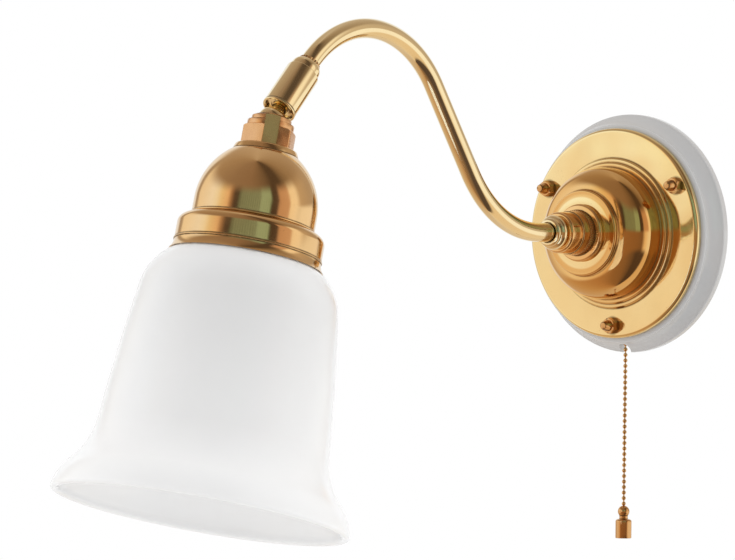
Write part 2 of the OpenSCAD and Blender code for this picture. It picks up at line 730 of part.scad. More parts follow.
// The stepped hexagonal cap that holds the ball
module joint_cap() {
    ring_1_r = cap_ring_1_d / 2;
    ring_2_r = cap_ring_2_d / 2;
    corner_r = cap_af / 2 / cos(30);
    slot_floor = cavity_r + 0.8;
    hex_chamfer = 0.9;
    hex_turn = 105.7 - cap_slot_turn;
    color("peru") in_head() difference() {
        union() {
            rotate_extrude() polygon([[0, cap_lip], [seat_r - 0.1, cap_lip], [ring_1_r - 0.6, cap_top - 0.3],
                [ring_1_r, cap_top + 0.2], [ring_1_r, cap_ring_2 - 0.3], [ring_1_r - 0.4, cap_ring_2],
                [ring_2_r - 0.5, cap_ring_2], [ring_2_r, cap_ring_2 + 0.4],
                [ring_2_r, cap_hex - 0.6], [ring_2_r - 0.5, cap_hex - 0.1],
                [ring_2_r - 0.5, cap_hex + 0.5], [0, cap_hex + 0.5]]);
            intersection() {
                rotate([0, 0, hex_turn]) translate([0, 0, cap_hex])
                    cylinder(h = cap_hex_h, r = corner_r, $fn = 6);
                translate([0, 0, cap_hex]) cylinder(h = cap_hex_h, r1 = corner_r - hex_chamfer,
                    r2 = corner_r - hex_chamfer + cap_hex_h);
            }
        }
        sphere(r = seat_r);
        translate([0, 0, 0]) cylinder(h = cavity_end, r = cavity_r);
        cylinder(h = cap_end + cut, r = thread_r + run_fit);
        rotate([0, 0, -cap_slot_turn]) translate([-cap_slot_w / 2, slot_floor, cap_lip - cut])
            cube([cap_slot_w, corner_r, cap_end - cap_lip + 2 * cut]);
    }
}

// The washer that presses the seat to the ball
module spring_washer() {
    color("silver") in_head() ring(cavity_r - 0.4, thread_r + 0.3, seat_end + 0.1, cavity_end - 0.1);
}

// The hollow nipple through cap, dome and lampholder
module head_nipple() {
    color("goldenrod") in_head() ring(thread_r, wire_r, head_nipple_start, socket_top + 7);
}

// The nut inside the holder dome
module dome_nut() {
    color("goldenrod") in_head()
        hex_nut(thread_d + 6, thread_r + run_fit, cap_end + sheet_t, dome_nut_end);
}

// The outside of the holder dome from its skirt to its top, pushed inwards by t
function holder_outline(t) = concat(
    [[holder_r - 0.35 - t, holder_skirt_end], [holder_r - 0.35 - t, holder_bead]],
    t > 0 ? [] : arc([holder_r, holder_bead - 0.65], 0.6, 90, -90, 8),
    arc([crown_centre[0], crown_z], holder_crown_r - t, 0,
        -acos((step_r - crown_centre[0]) / holder_crown_r), 24),
    [[step_r - 0.4 - t, cap_end + 2.1 + t / 2]],
    arc([holder_top_d / 2 - 0.3, cap_end + 1.4 + t * 0.4], 1.4 - t * 0.6, -20, -90, 5),
    [[thread_r + run_fit, cap_end + t]]);

// The spun brass dome over the lampholder
module holder_dome() {
    color("peru") in_head()
        rotate_extrude() polygon(concat(holder_outline(0), back(holder_outline(sheet_t))));
}

// The shade ring: rounded shoulder, band, ridge, flared lip and the web inside it
module shade_ring() {
    band_r = band_d / 2;
    top_r = holder_r - 0.25;
    edge_r = top_r + 0.9;
    lip_t = 0.8;
    color("peru") in_head() rotate_extrude() polygon(concat(
        [[top_r, ring_top]],
        [for (i = [0:8]) let (a = 90 * i / 8) [edge_r + (band_r - edge_r) * sin(a),
            ring_top + ring_shoulder_h * (1 - cos(a))]],
        [[band_r, band_end - 0.4], [band_r + 0.45, band_end], [band_r, band_end + 0.5]],
        [for (i = [1:6]) let (f = i / 6) [band_r + (ring_lip_r - band_r) * f * f,
            band_end + 0.5 + (ring_lip_h - 0.5) * f]],
        [[ring_lip_r - lip_t, ring_end], [band_r - sheet_t, band_end + 1],
        [band_r - sheet_t, web_end], [socket_r + 0.6, web_end], [socket_r + 0.6, web_top],
        [band_r - sheet_t, web_top]],
        [for (i = [8:-1:0]) let (a = 90 * i / 8) [edge_r - 0.4 + (band_r - sheet_t - edge_r + 0.4) * sin(a),
            ring_top + sheet_t + (ring_shoulder_h - sheet_t) * (1 - cos(a))]],
        [[top_r, ring_top + sheet_t]]));
}

// The outside of the glass from its shoulder to its rim, pushed inwards by t
function glass_outline(t, last) = concat(
    arc(shoulder_centre, glass_shoulder_r - t,
        -acos((glass_neck_r + 0.1 - shoulder_centre[0]) / glass_shoulder_r), -wall_lead, 20),
    bow(wall_top - t * [cos(wall_lead), -sin(wall_lead)],
        wall_end - t * [cos(wall_tail), -sin(wall_tail)], wall_bow, 8),
    arc(flare_centre, glass_flare_r + t, 180 - wall_tail, 180 - glass_flare_angle, 14),
    arc(rim_centre, glass_rim_r - t, -glass_flare_angle, -last, 12));

// The opal glass bell with an inward flange at its neck and a rounded rim
module glass_shade() {
    bead_turn = 205;
    inner_stop = 6;
    rim_at = rim_centre + (glass_rim_r - rim_bead_r) * [cos(glass_rim_angle), -sin(glass_rim_angle)];
    color("whitesmoke") in_head() rotate_extrude() polygon(concat(
        [[glass_hole_r, glass_top], [glass_neck_r - 0.6, glass_top], [glass_neck_r, glass_top + 0.6],
        [glass_neck_r, glass_top + 2]],
        glass_outline(0, glass_rim_angle),
        arc(rim_at, rim_bead_r, -glass_rim_angle, bead_turn - glass_rim_angle, 14),
        back(glass_outline(glass_t, glass_rim_angle + inner_stop)),
        [[glass_neck_r - glass_t, glass_flange_end], [glass_hole_r, glass_flange_end]]));
}

// The gasket between web and glass
module upper_gasket() {
    gasket_w = 7;
    color("dimgray") in_head() ring(glass_hole_r + gasket_w, glass_hole_r, web_end, glass_top);
}

// The gasket between glass and clamp ring
module lower_gasket() {
    color("dimgray") in_head() ring(clamp_r - 1, glass_hole_r, glass_flange_end, clamp_top);
}

// The ring that is screwed up against the glass
module clamp_ring() {
    grip_count = 12;
    grip_r = 2.2;
    color("silver") in_head() difference() {
        ring(clamp_r, socket_r + run_fit, clamp_top, clamp_end);
        for (i = [0:grip_count - 1]) rotate([0, 0, 360 * i / grip_count])
            translate([clamp_r + 1.2, 0, clamp_top - cut]) cylinder(h = clamp_h + 2 * cut, r = grip_r);
    }
}

// The lampholder's cap, screwed to the nipple
module socket_cap() {
    cap_r = socket_r + socket_cap_step;
    hub_r = thread_r + 5;
    skirt_top = socket_top + socket_cap_rise;
    skirt_end = socket_top + socket_cap_h;
    color("ivory") in_head() rotate_extrude() polygon([[thread_r + run_fit, socket_top],
        [hub_r, socket_top], [hub_r, socket_top + 5], [cap_r - 3, skirt_top - 3],
        [cap_r, skirt_top], [cap_r, skirt_end], [socket_r + run_fit, skirt_end],
        [socket_r + run_fit, skirt_top - 0.5], [thread_r + run_fit, socket_top + 7]]);
}

// The lampholder's threaded barrel
module socket_barrel() {
    thread_pitch = 2.4;
    groove_w = 0.8;
    groove_depth = 0.5;
    first_groove = socket_top + socket_cap_h + 1;
    groove_count = floor((socket_end - 2 * groove_w - 0.4 - first_groove) / thread_pitch);
    color("ivory") in_head() difference() {
        ring(socket_r, socket_r - socket_wall, socket_top + socket_cap_rise, socket_end);
        for (i = [0:groove_count - 1]) translate([0, 0, first_groove + i * thread_pitch])
            ring(socket_r + 1, socket_r - groove_depth, 0, groove_w);
    }
}

// The ceramic insert that carries the contacts
module socket_insert() {
    wire_hole_r = 2.5;
    wire_hole_at = 8;
    color("white") in_head() difference() {
        translate([0, 0, insert_top]) cylinder(h = insert_h, r = socket_r - socket_wall - run_fit);
        for (side = [-1, 1]) translate([side * wire_hole_at, 0, insert_top - cut])
            cylinder(h = insert_h - 5 + cut, r = wire_hole_r);
        translate([0, 0, insert_end - contact_well]) cylinder(h = contact_well + cut, r = 7);
    }
}

// The threaded shell that takes the bulb's cap
module socket_shell() {
    color("gold") in_head() ring(shell_r + 0.6, shell_r, insert_end, insert_end + shell_h);
}

// The spring tongue under the bulb's foot
module centre_contact() {
    color("gold") in_head() {
        translate([-2.5, -5.5, insert_end - contact_well]) cube([5, 9, 0.6]);
        translate([-2.5, -1.5, insert_end - contact_well])
            cube([5, 3, bulb_start - insert_end + contact_well - 0.1]);
    }
}

// The side contact that carries the threaded shell
module side_contact() {
    strip = [0.8, 6, 14];
    color("gold") in_head() translate([shell_r + 0.75, -strip[1] / 2, insert_end]) cube(strip);
}

// The outside of the bulb's glass from its neck to its tip, pushed inwards by t
function bulb_outline(t) = concat(
    [[bulb_neck_r - t, bulb_cap_end], [bulb_neck_r - t, bulb_cap_end + 4]],
    arc([0, bulb_centre], bulb_r - t, -40, 90, 24));

// The bulb's glass envelope, open towards its screw cap
module bulb_glass() {
    color("snow") in_head()
        rotate_extrude() polygon(concat(bulb_outline(0), back(bulb_outline(bulb_glass_t))));
}

// The bulb's screw cap
module bulb_cap() {
    ridge_pitch = 3.6;
    cap_r = bulb_cap_d / 2;
    cap_wall = 0.8;
    root_r = cap_r - 0.9;
    color("silver") in_head() rotate_extrude() polygon(concat(
        [[0, bulb_start + bulb_foot_h], [4.6, bulb_start + bulb_foot_h], [cap_r - 2.2, bulb_start + 4.4]],
        [for (i = [0:4]) for (p = [[root_r, 0], [cap_r, 0.7], [cap_r, 1.5], [root_r, 2.3]])
            [p[0], bulb_start + 4.6 + i * ridge_pitch + p[1]]],
        [[root_r, bulb_cap_end], [root_r - cap_wall, bulb_cap_end],
        [root_r - cap_wall, bulb_start + 6], [0, bulb_start + 4]]));
}

// The bulb's foot contact
module bulb_foot() {
    color("gray") in_head() translate([0, 0, bulb_start]) cylinder(h = bulb_foot_h, r1 = 3, r2 = 4.4);
}

// The moulded body of the pull switch, with the ear that carries the lever
module switch_body() {
    color("ivory") on_wall() difference() {
        union() {
            translate([-switch_w / 2, switch_foot, bracket_t])
                cube([switch_w, switch_h, switch_depth - 3]);
            translate([pivot_x - 3.5, pivot_z - 3.5, bracket_t])
                cube([7, switch_foot - pivot_z + 4, 1.2]);
        }
        translate([-switch_w / 2 + 2, switch_foot + 2, bracket_t + 2])
            cube([switch_w - 4, switch_h - 4, switch_depth]);
        translate([pivot_x, pivot_z, bracket_t - cut]) cylinder(h = 2, r = pin_r + press_fit);
    }
}

// The switch's cover, let into the body
module switch_cover() {
    color("dimgray") on_wall() translate([0, 0, bracket_t + switch_depth - 3])
        translate([-switch_w / 2, switch_foot, 0]) difference() {
            cube([switch_w, switch_h, 3]);
            for (side = [0, 1]) translate([4 + side * (switch_w - 8), switch_h - 4, -cut])
                cylinder(h = 3 + 2 * cut, r = 1.55);
        }
}

// The two screws that hold the switch together
module switch_screws() {
    color("silver") on_wall() for (side = [-1, 1])
        translate([side * (switch_w / 2 - 4), switch_top - 4, 0]) {
            translate([0, 0, bracket_t + switch_depth - 3]) cylinder(h = 3.1, r = 1.5);
            translate([0, 0, bracket_t + switch_depth]) cylinder(h = 1.8, r = 2.8);
        }
}

// The pin on which the lever turns
module lever_pin() {
    color("silver") on_wall() translate([pivot_x, pivot_z, 0]) {
        translate([0, 0, bracket_t]) cylinder(h = pin_top - bracket_t, r = pin_r);
        translate([0, 0, pin_top - pin_head]) cylinder(h = pin_head, r = pin_r + 1);
    }
}

// The lever that the chain pulls down, with a hole for the chain's link
module switch_lever() {
    color("silver") on_wall() translate([pivot_x, pivot_z, 0]) rotate([0, 0, lever_swing])
        difference() {
            union() {
                translate([0, 0, lever_foot]) cylinder(h = lever_top - lever_foot, r = 2.8);
                translate([0, -lever_t / 2, lever_foot])
                    cube([lever_len + 2.6, lever_t, lever_top - lever_foot]);
            }
            translate([0, 0, lever_foot - cut])
                cylinder(h = lever_top - lever_foot + 2 * cut, r = pin_r + run_fit);
            translate([lever_len, lever_t, chain_y]) rotate([90, 0, 0])
                cylinder(h = 2 * lever_t, r = link_d / 2 + 0.5);
        }
}

// The return spring round the pin, between the lever and the pin's head
module lever_spring() {
    wire = 0.7;
    color("silver") on_wall() {
        translate([pivot_x, pivot_z, 0])
            ring(pin_r + 1, pin_r + 0.1, lever_top + 0.1, pin_top - pin_head - 0.1);
        translate([pivot_x + pin_r + 0.25, pivot_z, lever_top + 0.2])
            cube([wire, switch_foot - pivot_z, wire]);
    }
}

// The bead chain, from the lever to the bell pull
module pull_chain() {
    color("gold") translate([0, -chain_y, 0]) union() {
        translate([0, 0, last_bead]) cylinder(h = stop_bead - last_bead, d = link_d);
        translate([0, 0, stop_bead]) sphere(d = bead_d, $fn = 24);
        for (i = [0:bead_count - 1]) translate([0, 0, first_bead - i * bead_pitch])
            sphere(d = bead_d, $fn = 24);
    }
}

// The bell pull: ball, neck and a straight body, hollow from below
module bell_pull() {
    bell_r = bell_d / 2;
    bell_neck_r = bell_r * 0.53;
    bell_bore_r = bell_r - 1.4;
    bell_roof = 2;
    color("goldenrod") translate([0, -chain_y, 0]) rotate_extrude() polygon(concat(
        arc([0, bell_ball_z], bell_ball_d / 2, 90, -43, 16),
        [[bell_neck_r, bell_shoulder + 0.6]],
        [for (i = [0:8]) let (a = 90 - 90 * i / 8) [bell_neck_r + (bell_r - bell_neck_r) * cos(a),
            bell_top + (bell_shoulder - bell_top) * sin(a)]],
        [[bell_r, bell_top - bell_h + 0.2], [bell_r - 0.2, bell_top - bell_h],
        [bell_bore_r, bell_top - bell_h], [bell_bore_r, bell_top - bell_roof], [0, bell_top - bell_roof]]));
}

// The two-pole terminal block on the bracket
module terminal_block() {
    block = [26, 13, 13];
    color("ivory") on_wall() translate([0, 27, bracket_t]) difference() {
        translate([-block[0] / 2, -block[1] / 2, 0]) cube(block);
        for (side = [-1, 1]) translate([side * 7, 0, 0]) {
            translate([0, block[1], block[2] / 2]) rotate([90, 0, 0]) cylinder(h = 2 * block[1], r = 2.2);
            translate([0, 0, block[2] / 2]) cylinder(h = block[2], r = 2);
        }
    }
}

// The terminal block's screws
module terminal_screws() {
    color("gold") on_wall() for (side = [-1, 1])
        translate([side * 7, 27, bracket_t + 8]) cylinder(h = 4, r = 2 - run_fit);
}

// The earth screw on the bracket
module earth_screw() {
    color("gold") on_wall() translate([-24, 18, bracket_t]) {
        cylinder(h = 6, r = 2);
        translate([0, 0, 0]) cylinder(h = 1, r = 4.5);
        translate([0, 0, 5]) cylinder(h = 2.4, r = 3.6);
    }
}

base_housing();
wall_bracket();
studs();
jam_nuts();
wall_plate();
cap_nuts();
boss_disc();
knurled_ring();
barrel();
boss_nipple();
boss_washer();
boss_nut();
arm_tube();
arm_collar();
swivel_nut();
sleeve();
sleeve_ring();
ball_stem();
ball_seat();
joint_cap();
spring_washer();
head_nipple();
dome_nut();
holder_dome();
shade_ring();
glass_shade();
upper_gasket();
lower_gasket();
clamp_ring();
socket_cap();
socket_barrel();
socket_insert();
socket_shell();
centre_contact();
side_contact();
bulb_glass();
bulb_cap();
bulb_foot();
switch_body();
switch_cover();
switch_screws();
lever_pin();
switch_lever();
lever_spring();
pull_chain();
bell_pull();
terminal_block();
terminal_screws();
earth_screw();
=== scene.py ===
"""Dresses a wall lamp: porcelain base, spun brass plate, swan-neck arm, ball joint and opal bell shade.

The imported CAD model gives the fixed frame. Every visible turned, bent or milled piece is modelled
here again with smooth surfaces, in millimetres from the sizes in the panel, and rides on its body.
"""

import math
from types import SimpleNamespace

import bmesh
import bpy
from bpy.props import FloatProperty, FloatVectorProperty, IntProperty, PointerProperty
from mathutils import Matrix, Vector


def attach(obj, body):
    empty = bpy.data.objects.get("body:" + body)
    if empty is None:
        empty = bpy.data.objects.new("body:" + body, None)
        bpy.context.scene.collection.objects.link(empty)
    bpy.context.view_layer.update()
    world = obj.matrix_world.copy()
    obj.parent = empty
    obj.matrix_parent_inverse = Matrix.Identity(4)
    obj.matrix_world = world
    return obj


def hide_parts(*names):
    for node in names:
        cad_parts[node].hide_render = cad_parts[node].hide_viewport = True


bl_info = {
    "name": "Wall lamp",
    "version": (1, 0, 0),
    "blender": (4, 5, 0),
    "location": "View3D > Sidebar > Wall lamp",
    "description": "Builds the visible pieces, finishes and studio of a brass wall lamp",
    "category": "Object",
}

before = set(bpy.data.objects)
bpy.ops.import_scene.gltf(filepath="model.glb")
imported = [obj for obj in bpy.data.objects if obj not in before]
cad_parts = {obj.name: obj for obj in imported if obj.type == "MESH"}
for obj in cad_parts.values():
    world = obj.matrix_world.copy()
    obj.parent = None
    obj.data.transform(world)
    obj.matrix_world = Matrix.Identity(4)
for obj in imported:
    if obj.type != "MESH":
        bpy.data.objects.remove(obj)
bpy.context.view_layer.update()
FINISHES = {}

# Solids of the CAD model that stay as they are, by their finishes
INNER_PARTS = {
    "steel": ("wall_bracket boss_washer switch_screws lever_pin lever_spring switch_lever "
              "spring_washer clamp_ring bulb_foot"),
    "plain_brass": ("studs jam_nuts boss_nipple boss_nut terminal_screws earth_screw swivel_nut "
                    "head_nipple dome_nut socket_shell centre_contact side_contact"),
    "moulding": "switch_body terminal_block socket_cap socket_barrel",
    "dark_moulding": "switch_cover ball_seat",
    "gasket": "upper_gasket lower_gasket",
    "unglazed_ceramic": "socket_insert",
}

# A millimetre, and how close points have to be to become one, in metres
MM = 0.001
WELD = 1e-6
# Edges are sharp from here on, in degrees
EDGE_ANGLE = 32
TOOTH_ANGLE = 20
# Hollow corners that turn more than this get painted shade, in degrees
HOLLOW_ANGLE = 25
# How far the painted shade reaches from a corner or seam, and the shortest run that counts, in
# millimetres
SHADE_REACH = 0.6
SHORT_RUN = 0.01
# How far the painted shadow reaches round a cap nut's foot, in millimetres from its axis
NUT_SHADOW_START, NUT_SHADOW_END = 4.7, 5.8
# Cells per metre of the noises on brass
CLOUD_CELLS = 38
SPECK_CELLS = 900
SHADE_CELLS = 420
SMEAR_CELLS = 160
PIT_CELLS = 1400
SWELL_CELLS = 26
# Lines per centimetre that turning or drawing left on brass
BRASS_LINES = 34.0
# Heights between the floor, table, wall and ceiling of the mirrored room, as parts of a unit ray
FLOOR_EDGE = (-0.52, -0.36)
TABLE_EDGE = (-0.01, 0.09)
CEILING_EDGE = (0.40, 0.68)
# The mirrored window's middle, half width and soft edge in degrees, and its slats' phase per radian
WINDOW_MIDDLE = 2
WINDOW_HALF = 28
WINDOW_EDGE = 2
WINDOW_SLATS = 88.0
# The point that the lamps look at, the floor's radius in metres, and its own light
LAMP_MIDDLE = Vector((0, -0.2, 0))
FLOOR_RADIUS = 0.5
FLOOR_GLOW = 0.4


def length(value, label, note):
    """A size in millimetres, kept as a length property."""
    return FloatProperty(name=label, description=note, default=value * MM, min=0.0,
                         unit="LENGTH", precision=5)


def angle(value, label, note):
    """An angle in degrees, kept as a rotation property."""
    return FloatProperty(name=label, description=note, default=math.radians(value),
                         unit="ROTATION")


def colour(value, label, note):
    """A linear colour property."""
    return FloatVectorProperty(name=label, description=note, default=value, size=3,
                               subtype="COLOR", min=0.0, max=1.0)


class LampSizes(bpy.types.PropertyGroup):
    """Real sizes of the lamp's visible pieces"""

    base_d: length(136, "Base diameter", "Outside diameter of the porcelain base")
    base_depth: length(14.3, "Base depth", "Depth of the porcelain base from the wall")
    base_wall: length(5.2, "Base wall", "Thickness of the porcelain")
    base_rim_h: length(3.2, "Base rim", "Height of the straight rim against the wall")
    base_lip: length(2.6, "Base lip", "How far the porcelain stands out round the plate")
    base_opening_d: length(80, "Base opening", "Diameter of the opening in the porcelain")
    notch_w: length(7, "Notch width", "Width of the chain's notch")
    notch_depth: length(8.5, "Notch depth", "Depth of the chain's notch from the wall")
    plate_d: length(119.6, "Plate diameter", "Outside diameter of the brass wall plate")
    plate_standoff: length(4.3, "Plate standoff", "Height of the flange over the porcelain")
    sheet_t: length(1.2, "Sheet thickness", "Thickness of the spun brass sheet")
    plate_lip_r: length(2.3, "Plate lip", "Radius of the plate's rolled lip")
    dome_d: length(85.6, "Dome diameter", "Diameter of the first step of the dome")
    dome_step_w: length(2.5, "Step width", "Width of each step at the dome's foot")
    dome_step_h: length(1.8, "Step height", "Height of each step at the dome's foot")
    dome_h: length(28.6, "Dome height", "Height of the dome over the flange")
    dome_shoulder_r: length(15.5, "Dome shoulder", "Radius of the dome's shoulder")
    dome_top_d: length(43.6, "Dome top", "Diameter of the dome's flat top")
    dome_top_h: length(3, "Dome top height", "Height of the dome's top ledge")
    stud_pcd: length(105, "Stud circle", "Diameter of the circle of the three studs")
    stud_d: length(5, "Stud diameter", "Diameter of the studs")
    stud_turn: angle(1.2, "Stud turn", "Turn of the three studs")
    nut_af: length(8, "Nut across flats", "Size of the cap nuts across their flats")
    nut_hex_h: length(4.5, "Nut height", "Height of the cap nut's hexagon")
    nut_cone_h: length(4.7, "Nut cone", "Height of the cap nut's cone")
    thread_d: length(10, "Thread diameter", "Diameter of the threaded nipples")
    wire_bore: length(7, "Wire bore", "Diameter of the bore for the wires")
    boss_disc_d: length(32.6, "Disc diameter", "Diameter of the boss's flange disc")
    boss_disc_t: length(3.3, "Disc thickness", "Thickness of the boss's flange disc")
    knurl_d: length(25.8, "Lock ring diameter", "Diameter of the knurled lock ring")
    knurl_t: length(3.6, "Lock ring height", "Height of the knurled lock ring")
    knurl_teeth: IntProperty(name="Lock ring teeth", description="Teeth of the lock ring",
                             default=60, min=12)
    barrel_d: length(23.6, "Barrel diameter", "Diameter of the swivel barrel")
    barrel_len: length(15.4, "Barrel length", "Length of the swivel barrel")
    spigot_d: length(13, "Spigot diameter", "Diameter of the arm's spigot")
    collar_d: length(19.4, "Collar diameter", "Diameter of the arm's collar")
    collar_len: length(5.6, "Collar length", "Length of the arm's collar")
    collar_ring_d: length(16, "Collar ring", "Diameter of the ring in front of the collar")
    face_gap: length(0.4, "Swivel gap", "Gap between barrel and collar")
    tube_d: length(10.6, "Tube diameter", "Outside diameter of the arm's tube")
    tube_wall: length(1, "Tube wall", "Wall of the arm's tube")
    arm_lead: length(85.3, "Arm lead", "Distance from the wall to the first bend")
    low_bend_r: length(73.4, "Low bend", "Radius of the arm's low bend")
    rise_angle: angle(55.8, "Rise angle", "Slope of the arm's rising run")
    rise_len: length(56.6, "Rise length", "Length of the arm's rising run")
    crest_r: length(65.8, "Crest bend", "Radius of the arm's crest")
    drop_angle: angle(46.7, "Drop angle", "Slope of the arm's falling run")
    drop_len: length(41.7, "Drop length", "Length of the arm's falling run to the ball")
    ball_d: length(15, "Ball diameter", "Diameter of the joint's ball")
    head_tilt: angle(14.3, "Head tilt", "Tilt of the head from straight down")
    sleeve_d: length(18.5, "Sleeve diameter", "Diameter of the sleeve over the ball")
    sleeve_len: length(27.1, "Sleeve length", "Length of the sleeve")
    sleeve_collar_d: length(16.2, "Sleeve collar", "Diameter of the collar on the sleeve")
    sleeve_collar_h: length(2.4, "Sleeve collar height", "Height of the collar's straight part")
    sleeve_shoulder: length(3.8, "Sleeve shoulder", "Height of the collar's round shoulder")
    tooth_ring_d: length(12.4, "Toothed ring", "Diameter of the toothed ring on the sleeve")
    tooth_ring_t: length(1.7, "Toothed ring height", "Height of the toothed ring")
    tooth_ring_teeth: IntProperty(name="Ring teeth", description="Teeth of the toothed ring",
                                  default=24, min=8)
    cap_af: length(25.4, "Joint cap", "Size of the hexagonal joint cap across its flats")
    cap_hex_h: length(9.9, "Joint cap height", "Height of the cap's hexagon")
    cap_ring_1_d: length(21, "Cap's small ring", "Diameter of the cap's first ring")
    cap_ring_2_d: length(24.6, "Cap's large ring", "Diameter of the cap's second ring")
    cap_ring_h: length(3, "Cap ring height", "Height of each ring of the cap")
    cap_slot_w: length(8, "Cap slot", "Width of the flat milled across the cap")
    cap_slot_turn: angle(46.6, "Cap slot turn", "Direction that the milled flat faces")
    holder_d: length(64.7, "Holder diameter", "Diameter of the holder's skirt")
    holder_top_d: length(31, "Holder top", "Diameter of the holder's flat top")
    holder_step_h: length(3.4, "Holder step", "Height of the step under the flat top")
    holder_h: length(41.3, "Holder height", "Height of the holder to its bead")
    holder_crown_r: length(35.5, "Holder crown", "Radius of the holder's crown")
    band_d: length(77.4, "Band diameter", "Diameter of the shade ring's band")
    ring_shoulder_h: length(5, "Ring shoulder", "Height of the shade ring's shoulder")
    band_h: length(8.8, "Band height", "Height of the shade ring's band")
    ring_lip_h: length(5.8, "Lip height", "Height of the shade ring's flared lip")
    ring_lip_flare: length(1.9, "Lip flare", "How far the lip stands out from the band")
    glass_t: length(3.4, "Glass thickness", "Thickness of the opal glass")
    glass_shoulder_r: length(29.3, "Shade shoulder", "Radius of the shade's shoulder")
    glass_shoulder_d: length(104.8, "Shade shoulder width", "Diameter at the shoulder")
    glass_wall_angle: angle(6.5, "Shade wall angle", "Slope of the shade's wall")
    glass_wall_len: length(73, "Shade wall", "Height of the shade's straight wall")
    glass_flare_r: length(42, "Shade flare", "Radius of the shade's flare")
    glass_flare_angle: angle(42, "Shade flare angle", "Slope at the flare's end")
    glass_rim_r: length(30, "Shade rim radius", "Radius of the turn towards the rim")
    glass_rim_angle: angle(12, "Shade rim angle", "Slope at the shade's rim")
    socket_d: length(39.6, "Lampholder", "Diameter of the lampholder's barrel")
    clamp_flange: length(7.2, "Clamp flange", "Width of the clamp ring")
    clamp_room: length(3.2, "Clamp room", "Gap between clamp ring and glass")
    gasket_t: length(0.8, "Gasket", "Thickness of each gasket")
    insert_drop: length(17, "Insert drop", "Depth of the insert in the lampholder")
    insert_h: length(12, "Insert height", "Height of the ceramic insert")
    bulb_cap_d: length(26.4, "Bulb cap", "Diameter of the bulb's screw cap")
    bulb_cap_h: length(23, "Bulb cap height", "Height of the bulb's screw cap")
    bulb_d: length(60, "Bulb diameter", "Diameter of the bulb's glass")
    bulb_glass_t: length(0.9, "Bulb glass", "Thickness of the bulb's glass")
    bulb_len: length(106, "Bulb length", "Length of the bulb")
    chain_y: length(4.8, "Chain distance", "Distance from the wall to the chain")
    pull_travel: length(7, "Pull travel", "Travel of the pull chain")
    bead_d: length(2.4, "Bead diameter", "Diameter of a bead of the chain")
    bead_pitch: length(3.15, "Bead pitch", "Distance from bead to bead")
    link_d: length(0.9, "Link diameter", "Diameter of the chain's links")
    bead_count: IntProperty(name="Beads", description="Beads of the chain below the lever",
                            default=37, min=2)
    bell_d: length(9.25, "Bell diameter", "Diameter of the bell pull")
    bell_h: length(9.6, "Bell height", "Height of the bell pull's body")
    bell_ball_d: length(6.7, "Bell ball", "Diameter of the ball on the bell pull")


class LampColours(bpy.types.PropertyGroup):
    """Base colours of the lamp's finishes"""

    porcelain: colour((0.545, 0.545, 0.545), "Porcelain", "Glazed porcelain base")
    polished_brass: colour((0.96, 0.80, 0.46), "Polished brass", "Wall plate")
    arm_brass: colour((0.97, 0.84, 0.56), "Arm brass", "Swan-neck tube, collar and sleeve")
    boss_brass: colour((0.88, 0.58, 0.28), "Boss brass", "Flange disc and barrel of the swivel")
    knurled_brass: colour((0.70, 0.48, 0.26), "Knurled brass", "Toothed rings")
    copper_brass: colour((0.72, 0.43, 0.20), "Copper brass", "Cap nuts and bell pull")
    chain_brass: colour((0.76, 0.48, 0.22), "Chain brass", "Beads of the pull chain")
    satin_brass: colour((0.87, 0.62, 0.34), "Satin brass", "Spun holder and shade ring")
    cap_brass: colour((0.78, 0.47, 0.25), "Cap brass", "Milled joint cap")
    plain_brass: colour((0.72, 0.56, 0.30), "Plain brass", "Hidden brass fittings")
    tarnish: colour((0.36, 0.22, 0.10), "Tarnish", "Tarnish that clouds the brass")
    steel: colour((0.62, 0.63, 0.65), "Steel", "Bracket, screws and pins")
    opal_glass: colour((0.86, 0.86, 0.86), "Opal glass", "The bell shade")
    moulding: colour((0.78, 0.75, 0.66), "Moulding", "Pale switch and lampholder mouldings")
    dark_moulding: colour((0.06, 0.055, 0.05), "Dark moulding", "Switch cover and ball seat")


class LampStudio(bpy.types.PropertyGroup):
    """Camera and light of the studio"""

    camera_azimuth: angle(40.837, "Camera azimuth", "Turn of the camera round the lamp")
    camera_height: angle(0.633, "Camera elevation", "Height of the camera over the horizon")
    camera_roll: angle(0.634, "Camera roll", "Roll of the camera")
    camera_distance: FloatProperty(name="Camera distance", description="Distance to the lamp",
                                   default=2.5752, unit="LENGTH")
    camera_right: length(151.37, "Shift to the right", "How far the lamp's root is to the right")
    camera_up: length(26.62, "Shift upwards", "How far the lamp's root is above the middle")
    camera_lens: FloatProperty(name="Lens", description="Focal length in millimetres",
                               default=220.41)
    floor_drop: length(460, "Floor", "How far the floor lies under the lamp's root")
    fill: FloatProperty(name="Fill light", description="Strength of the light all round",
                        default=0.90)
    side_lamp: FloatProperty(name="Side lamps", description="Power of each side lamp in watts",
                             default=10.0)


